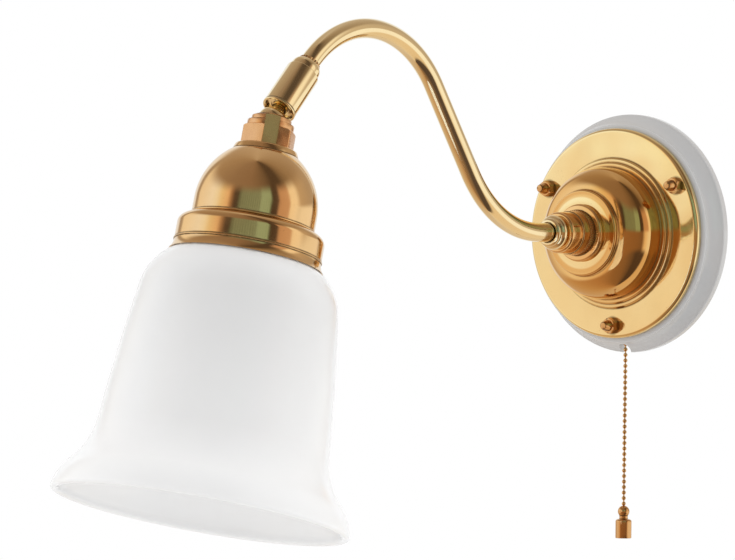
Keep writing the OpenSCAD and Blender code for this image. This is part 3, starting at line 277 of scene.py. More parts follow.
def measures():
    """All sizes in millimetres and degrees, with the places that follow from them."""
    sizes = bpy.context.scene.wall_lamp_sizes
    m = SimpleNamespace()
    for key in LampSizes.__annotations__:
        value = getattr(sizes, key)
        if isinstance(value, int):
            setattr(m, key, value)
        elif key.endswith(("_angle", "_turn", "_tilt")):
            setattr(m, key, math.degrees(value))
        else:
            setattr(m, key, value / MM)
    m.run_fit = 0.05
    m.lip_r = m.plate_d / 2 + m.base_lip
    m.porcelain_back = m.base_depth - m.base_wall
    m.plate_front = m.base_depth + m.plate_standoff
    m.dome_top = m.plate_front + m.dome_h
    m.disc_front = m.dome_top + m.boss_disc_t
    m.knurl_front = m.disc_front + m.knurl_t
    m.barrel_front = m.knurl_front + m.barrel_len
    m.collar_back = m.barrel_front + m.face_gap
    m.collar_front = m.collar_back + m.collar_len
    m.collar_ring_front = m.collar_front + 1.8
    m.nipple_end = m.knurl_front + 3
    m.chamber_end = m.barrel_front - 3.6
    m.spigot_end = m.nipple_end + 1.2
    m.tube_start = m.collar_back + 1
    m.thread_r = m.thread_d / 2
    m.wire_r = m.wire_bore / 2
    m.tube_r = m.tube_d / 2
    m.ball_r = m.ball_d / 2
    rise, drop = math.radians(m.rise_angle), math.radians(m.drop_angle)
    m.rise_start = Vector((-m.arm_lead - m.low_bend_r * math.sin(rise),
                           m.low_bend_r * (1 - math.cos(rise))))
    m.rise_end = m.rise_start + m.rise_len * Vector((-math.cos(rise), math.sin(rise)))
    m.crest_centre = m.rise_end - m.crest_r * Vector((math.sin(rise), math.cos(rise)))
    m.drop_start = m.crest_centre + m.crest_r * Vector((-math.sin(drop), math.cos(drop)))
    m.ball_at = m.drop_start - m.drop_len * Vector((math.cos(drop), math.sin(drop)))
    m.sleeve_foot = m.ball_r + 0.2
    m.sleeve_top = m.sleeve_foot + m.sleeve_len
    m.collar_top = m.sleeve_top + m.sleeve_collar_h
    m.shoulder_top = m.collar_top + m.sleeve_shoulder
    m.sleeve_recess = m.sleeve_foot + 2
    m.stem_start = m.sleeve_recess + 0.5
    m.stem_end = m.sleeve_foot + 14.5
    m.tube_end = m.stem_end + 2
    m.seat_r = m.ball_r + m.run_fit
    m.cap_lip = -2.4
    m.cap_top = -0.9
    m.cap_ring_2 = m.cap_top + m.cap_ring_h - 0.6
    m.cap_hex = m.cap_ring_2 + m.cap_ring_h + 0.5
    m.cap_end = m.cap_hex + m.cap_hex_h
    m.cavity_r = m.ball_r + 1.2
    m.cavity_end = m.ball_r + 2.1
    m.dome_nut_end = m.cap_end + m.sheet_t + 4
    m.holder_bead = m.cap_end + m.holder_h
    m.holder_skirt_end = m.holder_bead + 2.6
    m.holder_r = m.holder_d / 2
    m.ring_lip_r = m.band_d / 2 + m.ring_lip_flare
    m.crown_x = m.holder_r - m.holder_crown_r
    m.step_r = m.holder_top_d / 2 + 1.9
    m.crown_z = m.cap_end + m.holder_step_h + math.sqrt(
        m.holder_crown_r ** 2 - (m.step_r - m.crown_x) ** 2)
    m.ring_top = m.holder_bead + 0.3
    m.band_top = m.ring_top + m.ring_shoulder_h
    m.band_end = m.band_top + m.band_h
    m.ring_end = m.band_end + m.ring_lip_h
    m.web_top = m.band_end - 6.6
    m.web_end = m.web_top + m.sheet_t
    m.glass_top = m.web_end + m.gasket_t
    m.glass_flange_end = m.glass_top + m.glass_t
    m.socket_r = m.socket_d / 2
    m.socket_top = m.dome_nut_end + 0.8
    m.bulb_start = m.socket_top + m.insert_drop + m.insert_h + 1.6
    m.bulb_cap_end = m.bulb_start + m.bulb_cap_h
    m.bulb_r = m.bulb_d / 2
    m.bulb_centre = m.bulb_start + m.bulb_len - m.bulb_r
    m.bulb_neck_r = m.bulb_cap_d / 2 - 0.4
    shoulder_r0 = m.glass_shoulder_d / 2 - m.glass_shoulder_r
    mouth_r = m.ring_lip_r - 1.15
    m.shoulder_centre = Vector((shoulder_r0, m.ring_end + math.sqrt(
        m.glass_shoulder_r ** 2 - (mouth_r - shoulder_r0) ** 2)))
    m.wall_lead = m.glass_wall_angle + 1.8
    m.wall_tail = m.glass_wall_angle - 1.5
    m.wall_top = m.shoulder_centre + m.glass_shoulder_r * heading(-m.wall_lead)
    m.wall_end = m.wall_top + m.glass_wall_len * Vector(
        (math.tan(math.radians(m.glass_wall_angle)), 1))
    m.wall_bow = (m.wall_end - m.wall_top).length * 15
    m.flare_centre = m.wall_end + m.glass_flare_r * heading(-m.wall_tail)
    m.flare_end = m.flare_centre - m.glass_flare_r * heading(-m.glass_flare_angle)
    m.rim_centre = m.flare_end - m.glass_rim_r * heading(-m.glass_flare_angle)
    m.rim_bead_r = m.glass_t / 2 + 0.35
    m.clamp_r = m.socket_r + m.clamp_flange
    m.glass_neck_r = m.clamp_r + m.clamp_room + m.glass_t
    m.glass_hole_r = m.socket_r + 1.6
    m.lever_len = 14.2
    m.lever_swing = math.degrees(math.asin(m.pull_travel / 2 / m.lever_len))
    m.eye_z = -40.6 + m.lever_len * math.sin(math.radians(m.lever_swing))
    m.stop_bead = m.eye_z + m.bead_d / 2 + 0.75
    m.first_bead = m.eye_z - m.bead_d / 2 - 2.8
    m.last_bead = m.first_bead - (m.bead_count - 1) * m.bead_pitch
    m.bell_ball_z = m.last_bead - m.bead_d / 2 - m.bell_ball_d / 2 + 0.1
    m.bell_shoulder = m.bell_ball_z - m.bell_ball_d / 2 - 0.9
    m.bell_top = m.bell_shoulder - 1.4
    m.on_wall = Matrix.Rotation(math.radians(90), 4, "X")
    joint = Matrix.Translation((0, m.ball_at[0] * MM, m.ball_at[1] * MM))
    m.in_sleeve = joint @ Matrix.Rotation(math.radians(m.drop_angle - 90), 4, "X")
    m.in_head = joint @ Matrix.Rotation(math.radians(180 - m.head_tilt), 4, "X")
    m.on_chain = Matrix.Translation((0, -m.chain_y * MM, 0))
    return m


def heading(degrees):
    """The unit vector in that direction, in an outline's own plane."""
    return Vector((math.cos(math.radians(degrees)), math.sin(math.radians(degrees))))


def arc(centre, radius, start, end, steps):
    """Points of an arc from start to end, in degrees."""
    return [Vector(centre) + radius * heading(start + (end - start) * i / steps)
            for i in range(steps + 1)]


def shoulder(a, b, steps):
    """Points of a quarter ellipse that leaves a sideways and reaches b upright."""
    slopes = [math.radians(90 * i / steps) for i in range(steps + 1)]
    return [(a[0] + (b[0] - a[0]) * math.sin(slope), b[1] + (a[1] - b[1]) * math.cos(slope))
            for slope in slopes]


def bow(a, b, radius, steps):
    """Points of a shallow arc from a to b, hollow or round by the radius's sign."""
    a, b = Vector(a), Vector(b)
    half = (b - a).length / 2
    up = Vector((a[1] - b[1], b[0] - a[0])) / (2 * half)
    centre = (a + b) / 2 + math.copysign(math.sqrt(radius ** 2 - half ** 2), radius) * up
    first = math.degrees(math.atan2(a[1] - centre[1], a[0] - centre[0]))
    last = math.degrees(math.atan2(b[1] - centre[1], b[0] - centre[0]))
    turn = (last - first + 900) % 360 - 180
    return arc(centre, abs(radius), first, first + turn, steps)


def shaded_outline(outline, seams):
    """An outline with points added round its hollow corners and seams, and the painted shade at each.
    """
    points = [Vector(p) for p in outline]
    following = points[1:] + points[:1]
    area = sum(here.cross(after) for here, after in zip(points, following))
    spots = [Vector(seam) for seam in seams]
    for before, here, after in zip(points[-1:] + points[:-1], points, following):
        first, last = here - before, after - here
        if min(first.length, last.length) > SHORT_RUN and first.cross(last) * area < 0:
            if first.angle(last) > math.radians(HOLLOW_ANGLE):
                spots.append(here)
    made = []
    for here, after in zip(points, following):
        run = after - here
        stops = {0.0}
        for spot in spots if run.length > SHORT_RUN else ():
            for way in (-1, 0, 1):
                part = (spot - here).dot(run) / run.length_squared + way * SHADE_REACH / run.length
                if 0.02 < part < 0.98 and (here + part * run - spot).length < 1.2 * SHADE_REACH:
                    stops.add(part)
        made += [here + part * run for part in sorted(stops)]
    corner_shade = [max([0.0] + [1 - (p - spot).length / SHADE_REACH for spot in spots]) for p in made]
    return made, corner_shade


def turned(bm, outline, place, steps, seams):
    """Spins a closed outline of radius and height in millimetres round its own axis."""
    along = bm.verts.layers.float.get("along") or bm.verts.layers.float.new("along")
    around = bm.verts.layers.float.get("around") or bm.verts.layers.float.new("around")
    recess = bm.verts.layers.float.get("recess") or bm.verts.layers.float.new("recess")
    points, corner_shade = shaded_outline(outline, seams)
    verts, travelled = [], 0.0
    for i, point in enumerate(points):
        travelled += (point - points[i - 1]).length if i else 0.0
        vert = bm.verts.new((max(point[0], 0.0) * MM, 0, point[1] * MM))
        vert[along] = travelled
        # The recess attribute carries the painted shade of each hollow corner and seam
        vert[recess] = corner_shade[i]
        verts.append(vert)
    edges = [bm.edges.new((verts[i - 1], verts[i])) for i in range(len(verts))]
    before = set(bm.verts) - set(verts)
    bmesh.ops.spin(bm, geom=verts + edges, cent=(0, 0, 0), axis=(0, 0, 1), dvec=(0, 0, 0),
                   angle=math.tau, steps=steps, use_merge=True, use_duplicate=False)
    made = [v for v in bm.verts if v not in before]
    bmesh.ops.remove_doubles(bm, verts=made, dist=WELD)
    made = [v for v in bm.verts if v not in before]
    for vert in made:
        vert[around] = math.atan2(vert.co.y, vert.co.x) / math.tau + 0.5
    bmesh.ops.transform(bm, matrix=place, verts=made)


def unwrap(bm):
    """Lays a UV map from the way round a piece and the way along it, in centimetres."""
    along, around = bm.verts.layers.float.get("along"), bm.verts.layers.float.get("around")
    if along is None or around is None:
        return
    uv = bm.loops.layers.uv.new("turning")
    for face in bm.faces:
        turns = [loop.vert[around] for loop in face.loops]
        wraps = max(turns) - min(turns) > 0.5
        for loop, turn in zip(face.loops, turns):
            loop[uv].uv = (turn + 1 if wraps and turn < 0.5 else turn, loop.vert[along] * 0.1)


def to_object(bm, name, finish, sharp=EDGE_ANGLE):
    """Closes a bmesh into a shaded object with its finish."""
    bmesh.ops.recalc_face_normals(bm, faces=bm.faces)
    unwrap(bm)
    mesh = bpy.data.meshes.new(name)
    bm.to_mesh(mesh)
    bm.free()
    mesh.shade_smooth()
    mesh.set_sharp_from_angle(angle=math.radians(sharp))
    made = bpy.data.objects.new(name, mesh)
    bpy.context.scene.collection.objects.link(made)
    mesh.materials.append(finish)
    return made


def carve(target, cutter, operation="DIFFERENCE"):
    """Cuts, joins or trims target with cutter, and uses the cutter up."""
    step = target.modifiers.new("carve", "BOOLEAN")
    step.operation, step.solver, step.object = operation, "EXACT", cutter
    graph = bpy.context.evaluated_depsgraph_get()
    worked = bpy.data.meshes.new_from_object(
        target.evaluated_get(graph), preserve_all_data_layers=True, depsgraph=graph)
    old, worked.name = target.data, target.data.name
    target.modifiers.clear()
    target.data = worked
    bpy.data.meshes.remove(old)
    bpy.data.meshes.remove(cutter.data)
    worked.shade_smooth()
    worked.set_sharp_from_angle(angle=math.radians(EDGE_ANGLE))


def soften_edges(target, width, segments=2):
    """Breaks the sharp edges of a piece with a bevel of that width in millimetres."""
    step = target.modifiers.new("edges", "BEVEL")
    step.width, step.segments, step.profile = width * MM, segments, 0.5
    step.limit_method, step.angle_limit = "ANGLE", math.radians(35)
    step.harden_normals = True


def place_piece(made, body, slot, *nodes):
    """Rides a piece on its body, in place of its CAD nodes; its slot is not used."""
    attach(made, body)
    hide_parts(*nodes)
    return made


def lathe_object(name, outline, finish, place=Matrix.Identity(4), steps=96, seams=()):
    """A turned object that still has to be joined, cut or placed."""
    bm = bmesh.new()
    turned(bm, outline, place, steps, seams)
    return to_object(bm, name, finish)


def turned_piece(name, outline, place, body, slot, node, steps=160, seams=(), finish=None):
    """A single turned piece in place of its CAD node, in its slot's finish or another."""
    made = lathe_object(name, outline, finishes()[finish or slot], place, steps, seams)
    return place_piece(made, body, slot, node)


def raised(place, height):
    """A place moved along its own axis by that height in millimetres."""
    return place @ Matrix.Translation((0, 0, height * MM))


def at_studs(m):
    """Places of the three studs on the wall, as matrices."""
    for i in range(3):
        yield (m.on_wall @ Matrix.Rotation(math.radians(30 + 120 * i + m.stud_turn), 4, "Z")
               @ Matrix.Translation((m.stud_pcd / 2 * MM, 0, 0)))


def rod(bm, diameter, depth, place, segments):
    """A plain round rod about its place."""
    radius = diameter / 2 * MM
    bmesh.ops.create_cone(bm, cap_ends=True, segments=segments, radius1=radius, radius2=radius,
                          depth=depth * MM, matrix=place)


def pull_out(bm, faces, way, keep=False):
    """Extrudes faces by a way in millimetres."""
    grown = bmesh.ops.extrude_face_region(bm, geom=faces, use_keep_orig=keep)["geom"]
    far = [g for g in grown if isinstance(g, bmesh.types.BMVert)]
    bmesh.ops.translate(bm, verts=far, vec=Vector(way) * MM)


def fill(tree, node, inputs):
    """Sets a node's inputs, and links those that are given another node's output."""
    for key, value in inputs.items():
        if isinstance(value, bpy.types.NodeSocket):
            tree.links.new(value, node.inputs[key])
        else:
            node.inputs[key].default_value = value


def put(tree, kind, inputs=None, **settings):
    """Adds a node with its settings and inputs."""
    made = tree.nodes.new(kind)
    for key, value in settings.items():
        setattr(made, key, value)
    fill(tree, made, inputs or {})
    return made


def maths(tree, operation, *values, **settings):
    """The result of a Math node."""
    inputs = dict(enumerate(values))
    return put(tree, "ShaderNodeMath", inputs, operation=operation, **settings).outputs[0]


def ramp(tree, factor, stops):
    """A colour ramp with its stops, each a position and a colour."""
    made = put(tree, "ShaderNodeValToRGB", {"Fac": factor})
    band = made.color_ramp
    while len(band.elements) < len(stops):
        band.elements.new(0.5)
    for element, (position, shade) in zip(band.elements, stops):
        element.position = position
        element.color = (*shade, 1)
    return made.outputs["Color"]


def new_finish(name):
    """An empty node material and its Principled shader."""
    made = bpy.data.materials.new(name)
    made.use_nodes = True
    tree = made.node_tree
    tree.nodes.clear()
    shader = put(tree, "ShaderNodeBsdfPrincipled")
    put(tree, "ShaderNodeOutputMaterial", {"Surface": shader.outputs["BSDF"]})
    return made, tree, shader


def noise(tree, where, scale, detail):
    """A noise over the object's own coordinates."""
    return put(tree, "ShaderNodeTexNoise", {"Vector": where, "Scale": scale, "Detail": detail,
                                            "Roughness": 0.55}).outputs["Fac"]


def stretch(tree, value, low, high, to_low=0.0, to_high=1.0):
    """Maps a value from one range to another and keeps it inside."""
    return put(tree, "ShaderNodeMapRange", {"Value": value, "From Min": low, "From Max": high,
                                            "To Min": to_low, "To Max": to_high}).outputs[0]


def blended(tree, factor, first, second):
    """Mixes two colours by a factor."""
    made = put(tree, "ShaderNodeMix", data_type="RGBA")
    for socket, value in (("Factor_Float", factor), ("A_Color", first), ("B_Color", second)):
        slot = next(s for s in made.inputs if s.identifier == socket)
        if isinstance(value, bpy.types.NodeSocket):
            tree.links.new(value, slot)
        else:
            slot.default_value = (*value, 1) if socket != "Factor_Float" else value
    return next(s for s in made.outputs if s.identifier == "Result_Color")


def bump(tree, height, strength, distance, below=None):
    """A bump that is that many metres high, over another bump where one is given."""
    inputs = {"Height": height, "Strength": strength, "Distance": distance}
    if below:
        inputs["Normal"] = below
    return put(tree, "ShaderNodeBump", inputs).outputs["Normal"]


def shaded(tint, share):
    """A share of a colour."""
    return tuple(share * v for v in tint)


def seen_directly(tree):
    """One where the camera looks by itself or through glass, and nought for all other rays."""
    rays = put(tree, "ShaderNodeLightPath").outputs
    return maths(tree, "MAXIMUM", rays["Is Camera Ray"], rays["Is Transmission Ray"])


def brass(name, tint, tarnish, rough, clouds=0.35, specks=0.3, lines=0.0, grain=0.0, waves=0.0,
          blur=0.5, shade_strength=0.9, aged=None, spots=()):
    """Brass with clouds of tarnish, painted shade in its corners, specks and turned or drawn lines."""
    made, tree, shader = new_finish(name)
    where = put(tree, "ShaderNodeTexCoord").outputs["Object"]
    cloud = stretch(tree, noise(tree, where, CLOUD_CELLS, 4), 0.42, 0.72, 0.0, clouds)
    speck = stretch(tree, noise(tree, where, SPECK_CELLS, 2), 0.70, 0.80, 0.0, specks)
    clouded = tuple(0.55 * a + 0.45 * b for a, b in zip(tint, tarnish))
    surface = blended(tree, speck, blended(tree, cloud, tint, clouded), tarnish)
    # Painted shade: the recess attribute darkens and roughens the brass in hollow corners and at seams,
    # unevenly by a noise
    recess = put(tree, "ShaderNodeAttribute", attribute_name="recess").outputs["Fac"]
    uneven = stretch(tree, noise(tree, where, SHADE_CELLS, 3), 0.3, 0.7, 0.75, 1.35)
    corner_shade = maths(tree, "MULTIPLY", recess, uneven, use_clamp=True)
    corner_shade = maths(tree, "MULTIPLY", corner_shade, shade_strength)
    if aged:
        start, end = aged
        axes = put(tree, "ShaderNodeSeparateXYZ", {"Vector": where}).outputs
        flat = put(tree, "ShaderNodeCombineXYZ", {"X": axes["X"], "Y": axes["Z"]}).outputs[0]
        reach = put(tree, "ShaderNodeVectorMath", {0: flat}, operation="LENGTH").outputs["Value"]
        patina = maths(tree, "MULTIPLY", stretch(tree, reach, end * MM, (end - 6) * MM, 0.0, 0.85),
                       stretch(tree, reach, (start - 1) * MM, start * MM))
        surface = blended(tree, patina, surface, (0.80, 0.48, 0.18))
    # Painted shadow: the brass darkens towards tarnish in a ring round each given spot, the cap nuts'
    # feet on the plate
    for spot in spots:
        away = put(tree, "ShaderNodeVectorMath", {0: where, 1: spot},
                   operation="DISTANCE").outputs["Value"]
        nut_shadow = stretch(tree, away, NUT_SHADOW_END * MM, NUT_SHADOW_START * MM, 0.0, 0.75)
        surface = blended(tree, nut_shadow, surface, shaded(tarnish, 0.4))
    smear = noise(tree, where, SMEAR_CELLS, 5)
    polish = stretch(tree, smear, 0.3, 0.7, rough * 0.75, rough * 1.3)
    height = noise(tree, where, PIT_CELLS, 2)
    if lines:
        way = put(tree, "ShaderNodeSeparateXYZ", {
            "Vector": put(tree, "ShaderNodeUVMap", uv_map="turning").outputs["UV"]}).outputs["Y"]
        groove = put(tree, "ShaderNodeTexNoise", {"W": way, "Scale": BRASS_LINES, "Detail": 5.0,
                                                  "Roughness": 0.8}, noise_dimensions="1D")
        height = maths(tree, "MULTIPLY_ADD", groove.outputs["Fac"], lines, height)
        drawn = put(tree, "ShaderNodeTangent", direction_type="UV_MAP", uv_map="turning")
        fill(tree, shader, {"Anisotropic": blur, "Tangent": drawn.outputs["Tangent"]})
    swell = bump(tree, noise(tree, where, SWELL_CELLS, 1), 1.0, waves * 1e-3)
    fill(tree, shader, {
        "Base Color": blended(tree, corner_shade, surface, shaded(tarnish, 0.25)),
        "Roughness": maths(tree, "MULTIPLY_ADD", corner_shade, 0.4, polish), "Metallic": 1.0,
        "Normal": bump(tree, height, 1.0, (0.2 + grain) * 1e-6, swell)})
    return made


def moulded(name, tint, dark, rough, scale, depth=0.00002, coat=0.0):
    """Moulded, fired or glazed matter with a faint mottle and an uneven surface."""
    made, tree, shader = new_finish(name)
    where = put(tree, "ShaderNodeTexCoord").outputs["Object"]
    mottle = stretch(tree, noise(tree, where, scale * 0.3, 4), 0.35, 0.75)
    uneven = noise(tree, where, scale, 3)
    fill(tree, shader, {
        "Base Color": blended(tree, mottle, tint, dark),
        "Roughness": stretch(tree, uneven, 0.3, 0.7, rough * 0.8, rough * 1.25),
        "Coat Weight": coat, "Coat Roughness": 0.04, "Normal": bump(tree, uneven, 0.5, depth)})
    return made


def opal(name, tint):
    """Milky pressed glass: bright body, light inside it and a fire-polished skin."""
    made, tree, shader = new_finish(name)
    where = put(tree, "ShaderNodeTexCoord").outputs["Object"]
    milk = stretch(tree, noise(tree, where, 14, 3), 0.35, 0.7)
    fill(tree, shader, {
        "Base Color": blended(tree, milk, tint, shaded(tint, 0.97)),
        "Roughness": stretch(tree, noise(tree, where, 60, 3), 0.3, 0.7, 0.16, 0.24),
        "Specular IOR Level": 0.35, "IOR": 1.5, "Subsurface Weight": 1.0,
        "Subsurface Radius": (1.0, 1.0, 1.0), "Subsurface Scale": 0.008,
        "Normal": bump(tree, noise(tree, where, 22, 2), 0.25, 0.0004)})
    return made


def finishes():
    """The lamp's finishes by name, made once."""
    if FINISHES:
        return FINISHES
    tints = bpy.context.scene.wall_lamp_colours
    c = {key: tuple(getattr(tints, key)) for key in LampColours.__annotations__}
    m = measures()
    # The cap nuts' feet, round which the plate gets a painted shadow
    feet = [tuple(raised(place, m.plate_front).translation) for place in at_studs(m)]
    patina = (m.dome_top_d / 2 - 1, m.dome_d / 2 + 1)
    brasses = {
        "polished_brass": dict(rough=0.08, clouds=0.16, specks=0.4, lines=0.5, waves=1.1, blur=0.3,
                               shade_strength=0.45, aged=patina, spots=feet),
        "boss_brass": dict(rough=0.10, specks=0.5, lines=0.3),
        "arm_brass": dict(rough=0.08, clouds=0.15, lines=0.3, blur=0.3),
        "copper_brass": dict(rough=0.12, clouds=0.3, specks=0.4),
        "knurled_brass": dict(rough=0.25, clouds=0.6),
        "satin_brass": dict(rough=0.10, clouds=0.25, specks=0.4, lines=0.7, grain=0.6, waves=0.12,
                            blur=0.35),
        "cap_brass": dict(rough=0.26, clouds=0.3, specks=0.5, grain=0.8),
        "plain_brass": dict(rough=0.32, clouds=0.4),
        "chain_brass": dict(rough=0.2, clouds=0.5)}
    mouldings = {
        "porcelain": dict(tint=c["porcelain"], dark=shaded(c["porcelain"], 0.97), rough=0.08,
                          scale=120, depth=0.000005, coat=0.6),
        "bulb_white": dict(tint=(0.88, 0.88, 0.86), dark=(0.84, 0.84, 0.81), rough=0.3, scale=500),
        "moulding": dict(tint=c["moulding"], dark=shaded(c["moulding"], 0.9), rough=0.38, scale=900),
        "dark_moulding": dict(tint=c["dark_moulding"], dark=(0.03, 0.03, 0.03), rough=0.42,
                              scale=1200),
        "unglazed_ceramic": dict(tint=(0.82, 0.80, 0.75), dark=(0.70, 0.67, 0.60), rough=0.65,
                                 scale=1500),
        "gasket": dict(tint=(0.12, 0.11, 0.10), dark=(0.07, 0.065, 0.06), rough=0.7, scale=1500)}
    for name, look in brasses.items():
        FINISHES[name] = brass(name, c[name], c["tarnish"], **look)
    FINISHES["steel"] = brass("steel", c["steel"], (0.25, 0.25, 0.26), 0.35, 0.3, 0.4, grain=1.0)
    for name, look in mouldings.items():
        FINISHES[name] = moulded(name, **look)
    FINISHES["opal_glass"] = opal("opal_glass", c["opal_glass"])
    return FINISHES


def plate_outline(m):
    """Closed outline of the spun wall plate, from its lip to its bore and back inside."""
    t = m.sheet_t
    step_1, step_2 = m.dome_d / 2, m.dome_d / 2 - m.dome_step_w
    foot = step_2 - m.dome_step_w - 0.3
    ledge_1 = m.plate_front + m.dome_step_h
    ledge_2 = ledge_1 + m.dome_step_h
    lip = (m.plate_d / 2 - m.plate_lip_r, m.plate_front - m.plate_lip_r)
    middle = (foot - m.dome_shoulder_r, m.dome_top - m.dome_top_h - m.dome_shoulder_r)
    top = m.dome_top_d / 2
    hole = m.thread_r + m.run_fit
    outside = [(m.plate_d / 2, m.base_depth + 0.05), *arc(lip, m.plate_lip_r, 0, 90, 14),
               (step_1 + 0.4, m.plate_front), (step_1, m.plate_front + 0.3),
               *arc((step_1 - 1.2, ledge_1 - 1.2), 1.2, 0, 90, 8),
               (step_2 + 0.3, ledge_1), (step_2, ledge_1 + 0.3),
               *arc((step_2 - 1.2, ledge_2 - 1.2), 1.2, 0, 90, 8),
               (foot + 0.5, ledge_2), (foot, ledge_2 + 0.5),
               *arc(middle, m.dome_shoulder_r, 0, 80, 40), (top + 2.4, m.dome_top - m.dome_top_h + 0.7),
               *arc((top + 1.4, m.dome_top - 1), 1, -10, 90, 8),
               (top, m.dome_top - 0.2), (top - 1, m.dome_top), (hole, m.dome_top)]
    inside = [(m.plate_d / 2 - t, m.base_depth + 0.05),
              *arc(lip, m.plate_lip_r - t, 0, 90, 8), (step_1 - t, m.plate_front - t),
              (step_1 - t, ledge_1 - t), (step_2 - t, ledge_1 - t), (step_2 - t, ledge_2 - t),
              (foot - t, ledge_2 - t), *arc(middle, m.dome_shoulder_r - t, 0, 80, 30),
              (top + 2.4 - t, m.dome_top - t - 1), (top, m.dome_top - t), (hole, m.dome_top - t)]
    return outside + inside[::-1]


def holder_outline(m):
    """Closed outline of the spun holder dome."""
    def side(t):
        bead = [] if t else arc((m.holder_r, m.holder_bead - 0.65), 0.6, 90, -90, 10)
        low = -math.degrees(math.acos((m.step_r - m.crown_x) / m.holder_crown_r))
        return [(m.holder_r - 0.35 - t, m.holder_skirt_end), (m.holder_r - 0.35 - t, m.holder_bead),
                *bead, *arc((m.crown_x, m.crown_z), m.holder_crown_r - t, 0, low, 48),
                (m.step_r - 0.4 - t, m.cap_end + 2.1 + t / 2),
                *arc((m.holder_top_d / 2 - 0.3, m.cap_end + 1.4 + t * 0.4), 1.4 - t * 0.6, -20, -90, 6),
                (m.thread_r + m.run_fit, m.cap_end + t)]
    return side(0) + side(m.sheet_t)[::-1]


def ring_outline(m):
    """Closed outline of the shade ring with its shoulder, band, ridge, lip and web."""
    t, band, top = m.sheet_t, m.band_d / 2, m.holder_r - 0.25
    edge = top + 0.9
    flare = [(band + m.ring_lip_flare * (i / 12) ** 2,
              m.band_end + 0.5 + (m.ring_lip_h - 0.5) * i / 12) for i in range(1, 13)]
    outer = shoulder((edge, m.ring_top), (band, m.band_top), 14)
    inner = shoulder((edge - 0.4, m.ring_top + t), (band - t, m.band_top), 10)[::-1]
    return [(top, m.ring_top), *outer, (band, m.band_end - 0.5),
            *arc((band, m.band_end), 0.45, -80, 80, 6), (band, m.band_end + 0.5), *flare,
            (m.ring_lip_r - 0.8, m.ring_end),
            (band - t, m.band_end + 1), (band - t, m.web_end), (m.socket_r + 0.6, m.web_end),
            (m.socket_r + 0.6, m.web_top), (band - t, m.web_top), *inner, (top, m.ring_top + t)]


def shade_outline(m):
    """Closed outline of the opal bell shade."""
    neck = m.glass_neck_r

    def wall(t, last):
        first = -math.degrees(math.acos((neck + 0.1 - m.shoulder_centre[0]) / m.glass_shoulder_r))
        return [*arc(m.shoulder_centre, m.glass_shoulder_r - t, first, -m.wall_lead, 36),
                *bow(m.wall_top - t * heading(-m.wall_lead), m.wall_end - t * heading(-m.wall_tail),
                     m.wall_bow, 24),
                *arc(m.flare_centre, m.glass_flare_r + t, 180 - m.wall_tail,
                     180 - m.glass_flare_angle, 28),
                *arc(m.rim_centre, m.glass_rim_r - t, -m.glass_flare_angle, -last, 24)]

    rim_at = m.rim_centre + (m.glass_rim_r - m.rim_bead_r) * heading(-m.glass_rim_angle)
    return [(m.glass_hole_r, m.glass_top), (neck - 0.6, m.glass_top), (neck, m.glass_top + 0.6),
            (neck, m.glass_top + 2), *wall(0, m.glass_rim_angle),
            *arc(rim_at, m.rim_bead_r, -m.glass_rim_angle, 205 - m.glass_rim_angle, 20),
            *wall(m.glass_t, m.glass_rim_angle + 6)[::-1],
            (neck - m.glass_t, m.glass_flange_end), (m.glass_hole_r, m.glass_flange_end)]


def hexagon(name, across, low, high, finish, turn, bevel):
    """A hexagonal prism round its own axis, with broken upright edges."""
    bm = bmesh.new()
    base = bmesh.ops.create_circle(bm, cap_ends=True, segments=6,
                                   radius=across / 2 / math.cos(math.radians(30)) * MM,
                                   matrix=Matrix.Rotation(math.radians(turn - 30), 4, "Z"))
    bmesh.ops.translate(bm, verts=base["verts"], vec=(0, 0, low * MM))
    pull_out(bm, bm.faces[:], (0, 0, high - low))
    upright = [e for e in bm.edges if abs(e.verts[0].co.z - e.verts[1].co.z) > WELD]
    bmesh.ops.bevel(bm, geom=upright, offset=bevel * MM, segments=3, affect="EDGES", profile=0.5,
                    material=-1)
    return to_object(bm, name, finish)


def toothed(name, count, radius, depth, bore, low, high, place):
    """A ring with pointed teeth, its flanks running along its axis."""
    bm = bmesh.new()
    outer = bmesh.ops.create_circle(bm, segments=2 * count, radius=radius * MM)["verts"]
    for i, vert in enumerate(outer):
        vert.co *= 1 - depth / radius * (i % 2)
    inner = bmesh.ops.create_circle(bm, segments=2 * count, radius=bore * MM)["verts"]
    rings = [e for e in bm.edges if set(e.verts) <= set(outer) or set(e.verts) <= set(inner)]
    bmesh.ops.bridge_loops(bm, edges=rings)
    bmesh.ops.translate(bm, verts=bm.verts, vec=(0, 0, low * MM))
    pull_out(bm, bm.faces[:], (0, 0, high - low), keep=True)
    bmesh.ops.transform(bm, matrix=place, verts=bm.verts)
    return to_object(bm, name, finishes()["knurled_brass"], TOOTH_ANGLE)


def tube_stations(m):
    """Places and slopes of the arm's centreline, from the collar to the sleeve."""
    stations = [(Vector((-m.tube_start, 0)), 0.0)]
    for i in range(1, 13):
        stations.append((Vector((-m.tube_start - (m.arm_lead - m.tube_start) * i / 12, 0)), 0.0))
    low = Vector((-m.arm_lead, m.low_bend_r))
    for i in range(1, 33):
        slope = m.rise_angle * i / 32
        stations.append((low + m.low_bend_r * heading(-90 - slope), slope))
    for i in range(1, 9):
        stations.append((m.rise_start + (m.rise_end - m.rise_start) * i / 8, m.rise_angle))
    for i in range(1, 57):
        slope = m.rise_angle - (m.rise_angle + m.drop_angle) * i / 56
        stations.append((m.crest_centre + m.crest_r * heading(90 - slope), slope))
    last = m.ball_at + m.tube_end * heading(m.drop_angle)
    for i in range(1, 5):
        stations.append((m.drop_start + (last - m.drop_start) * i / 4, -m.drop_angle))
    return stations


class WallLampStep:
    """What all the lamp's operators share."""

    bl_options = {"REGISTER", "UNDO"}


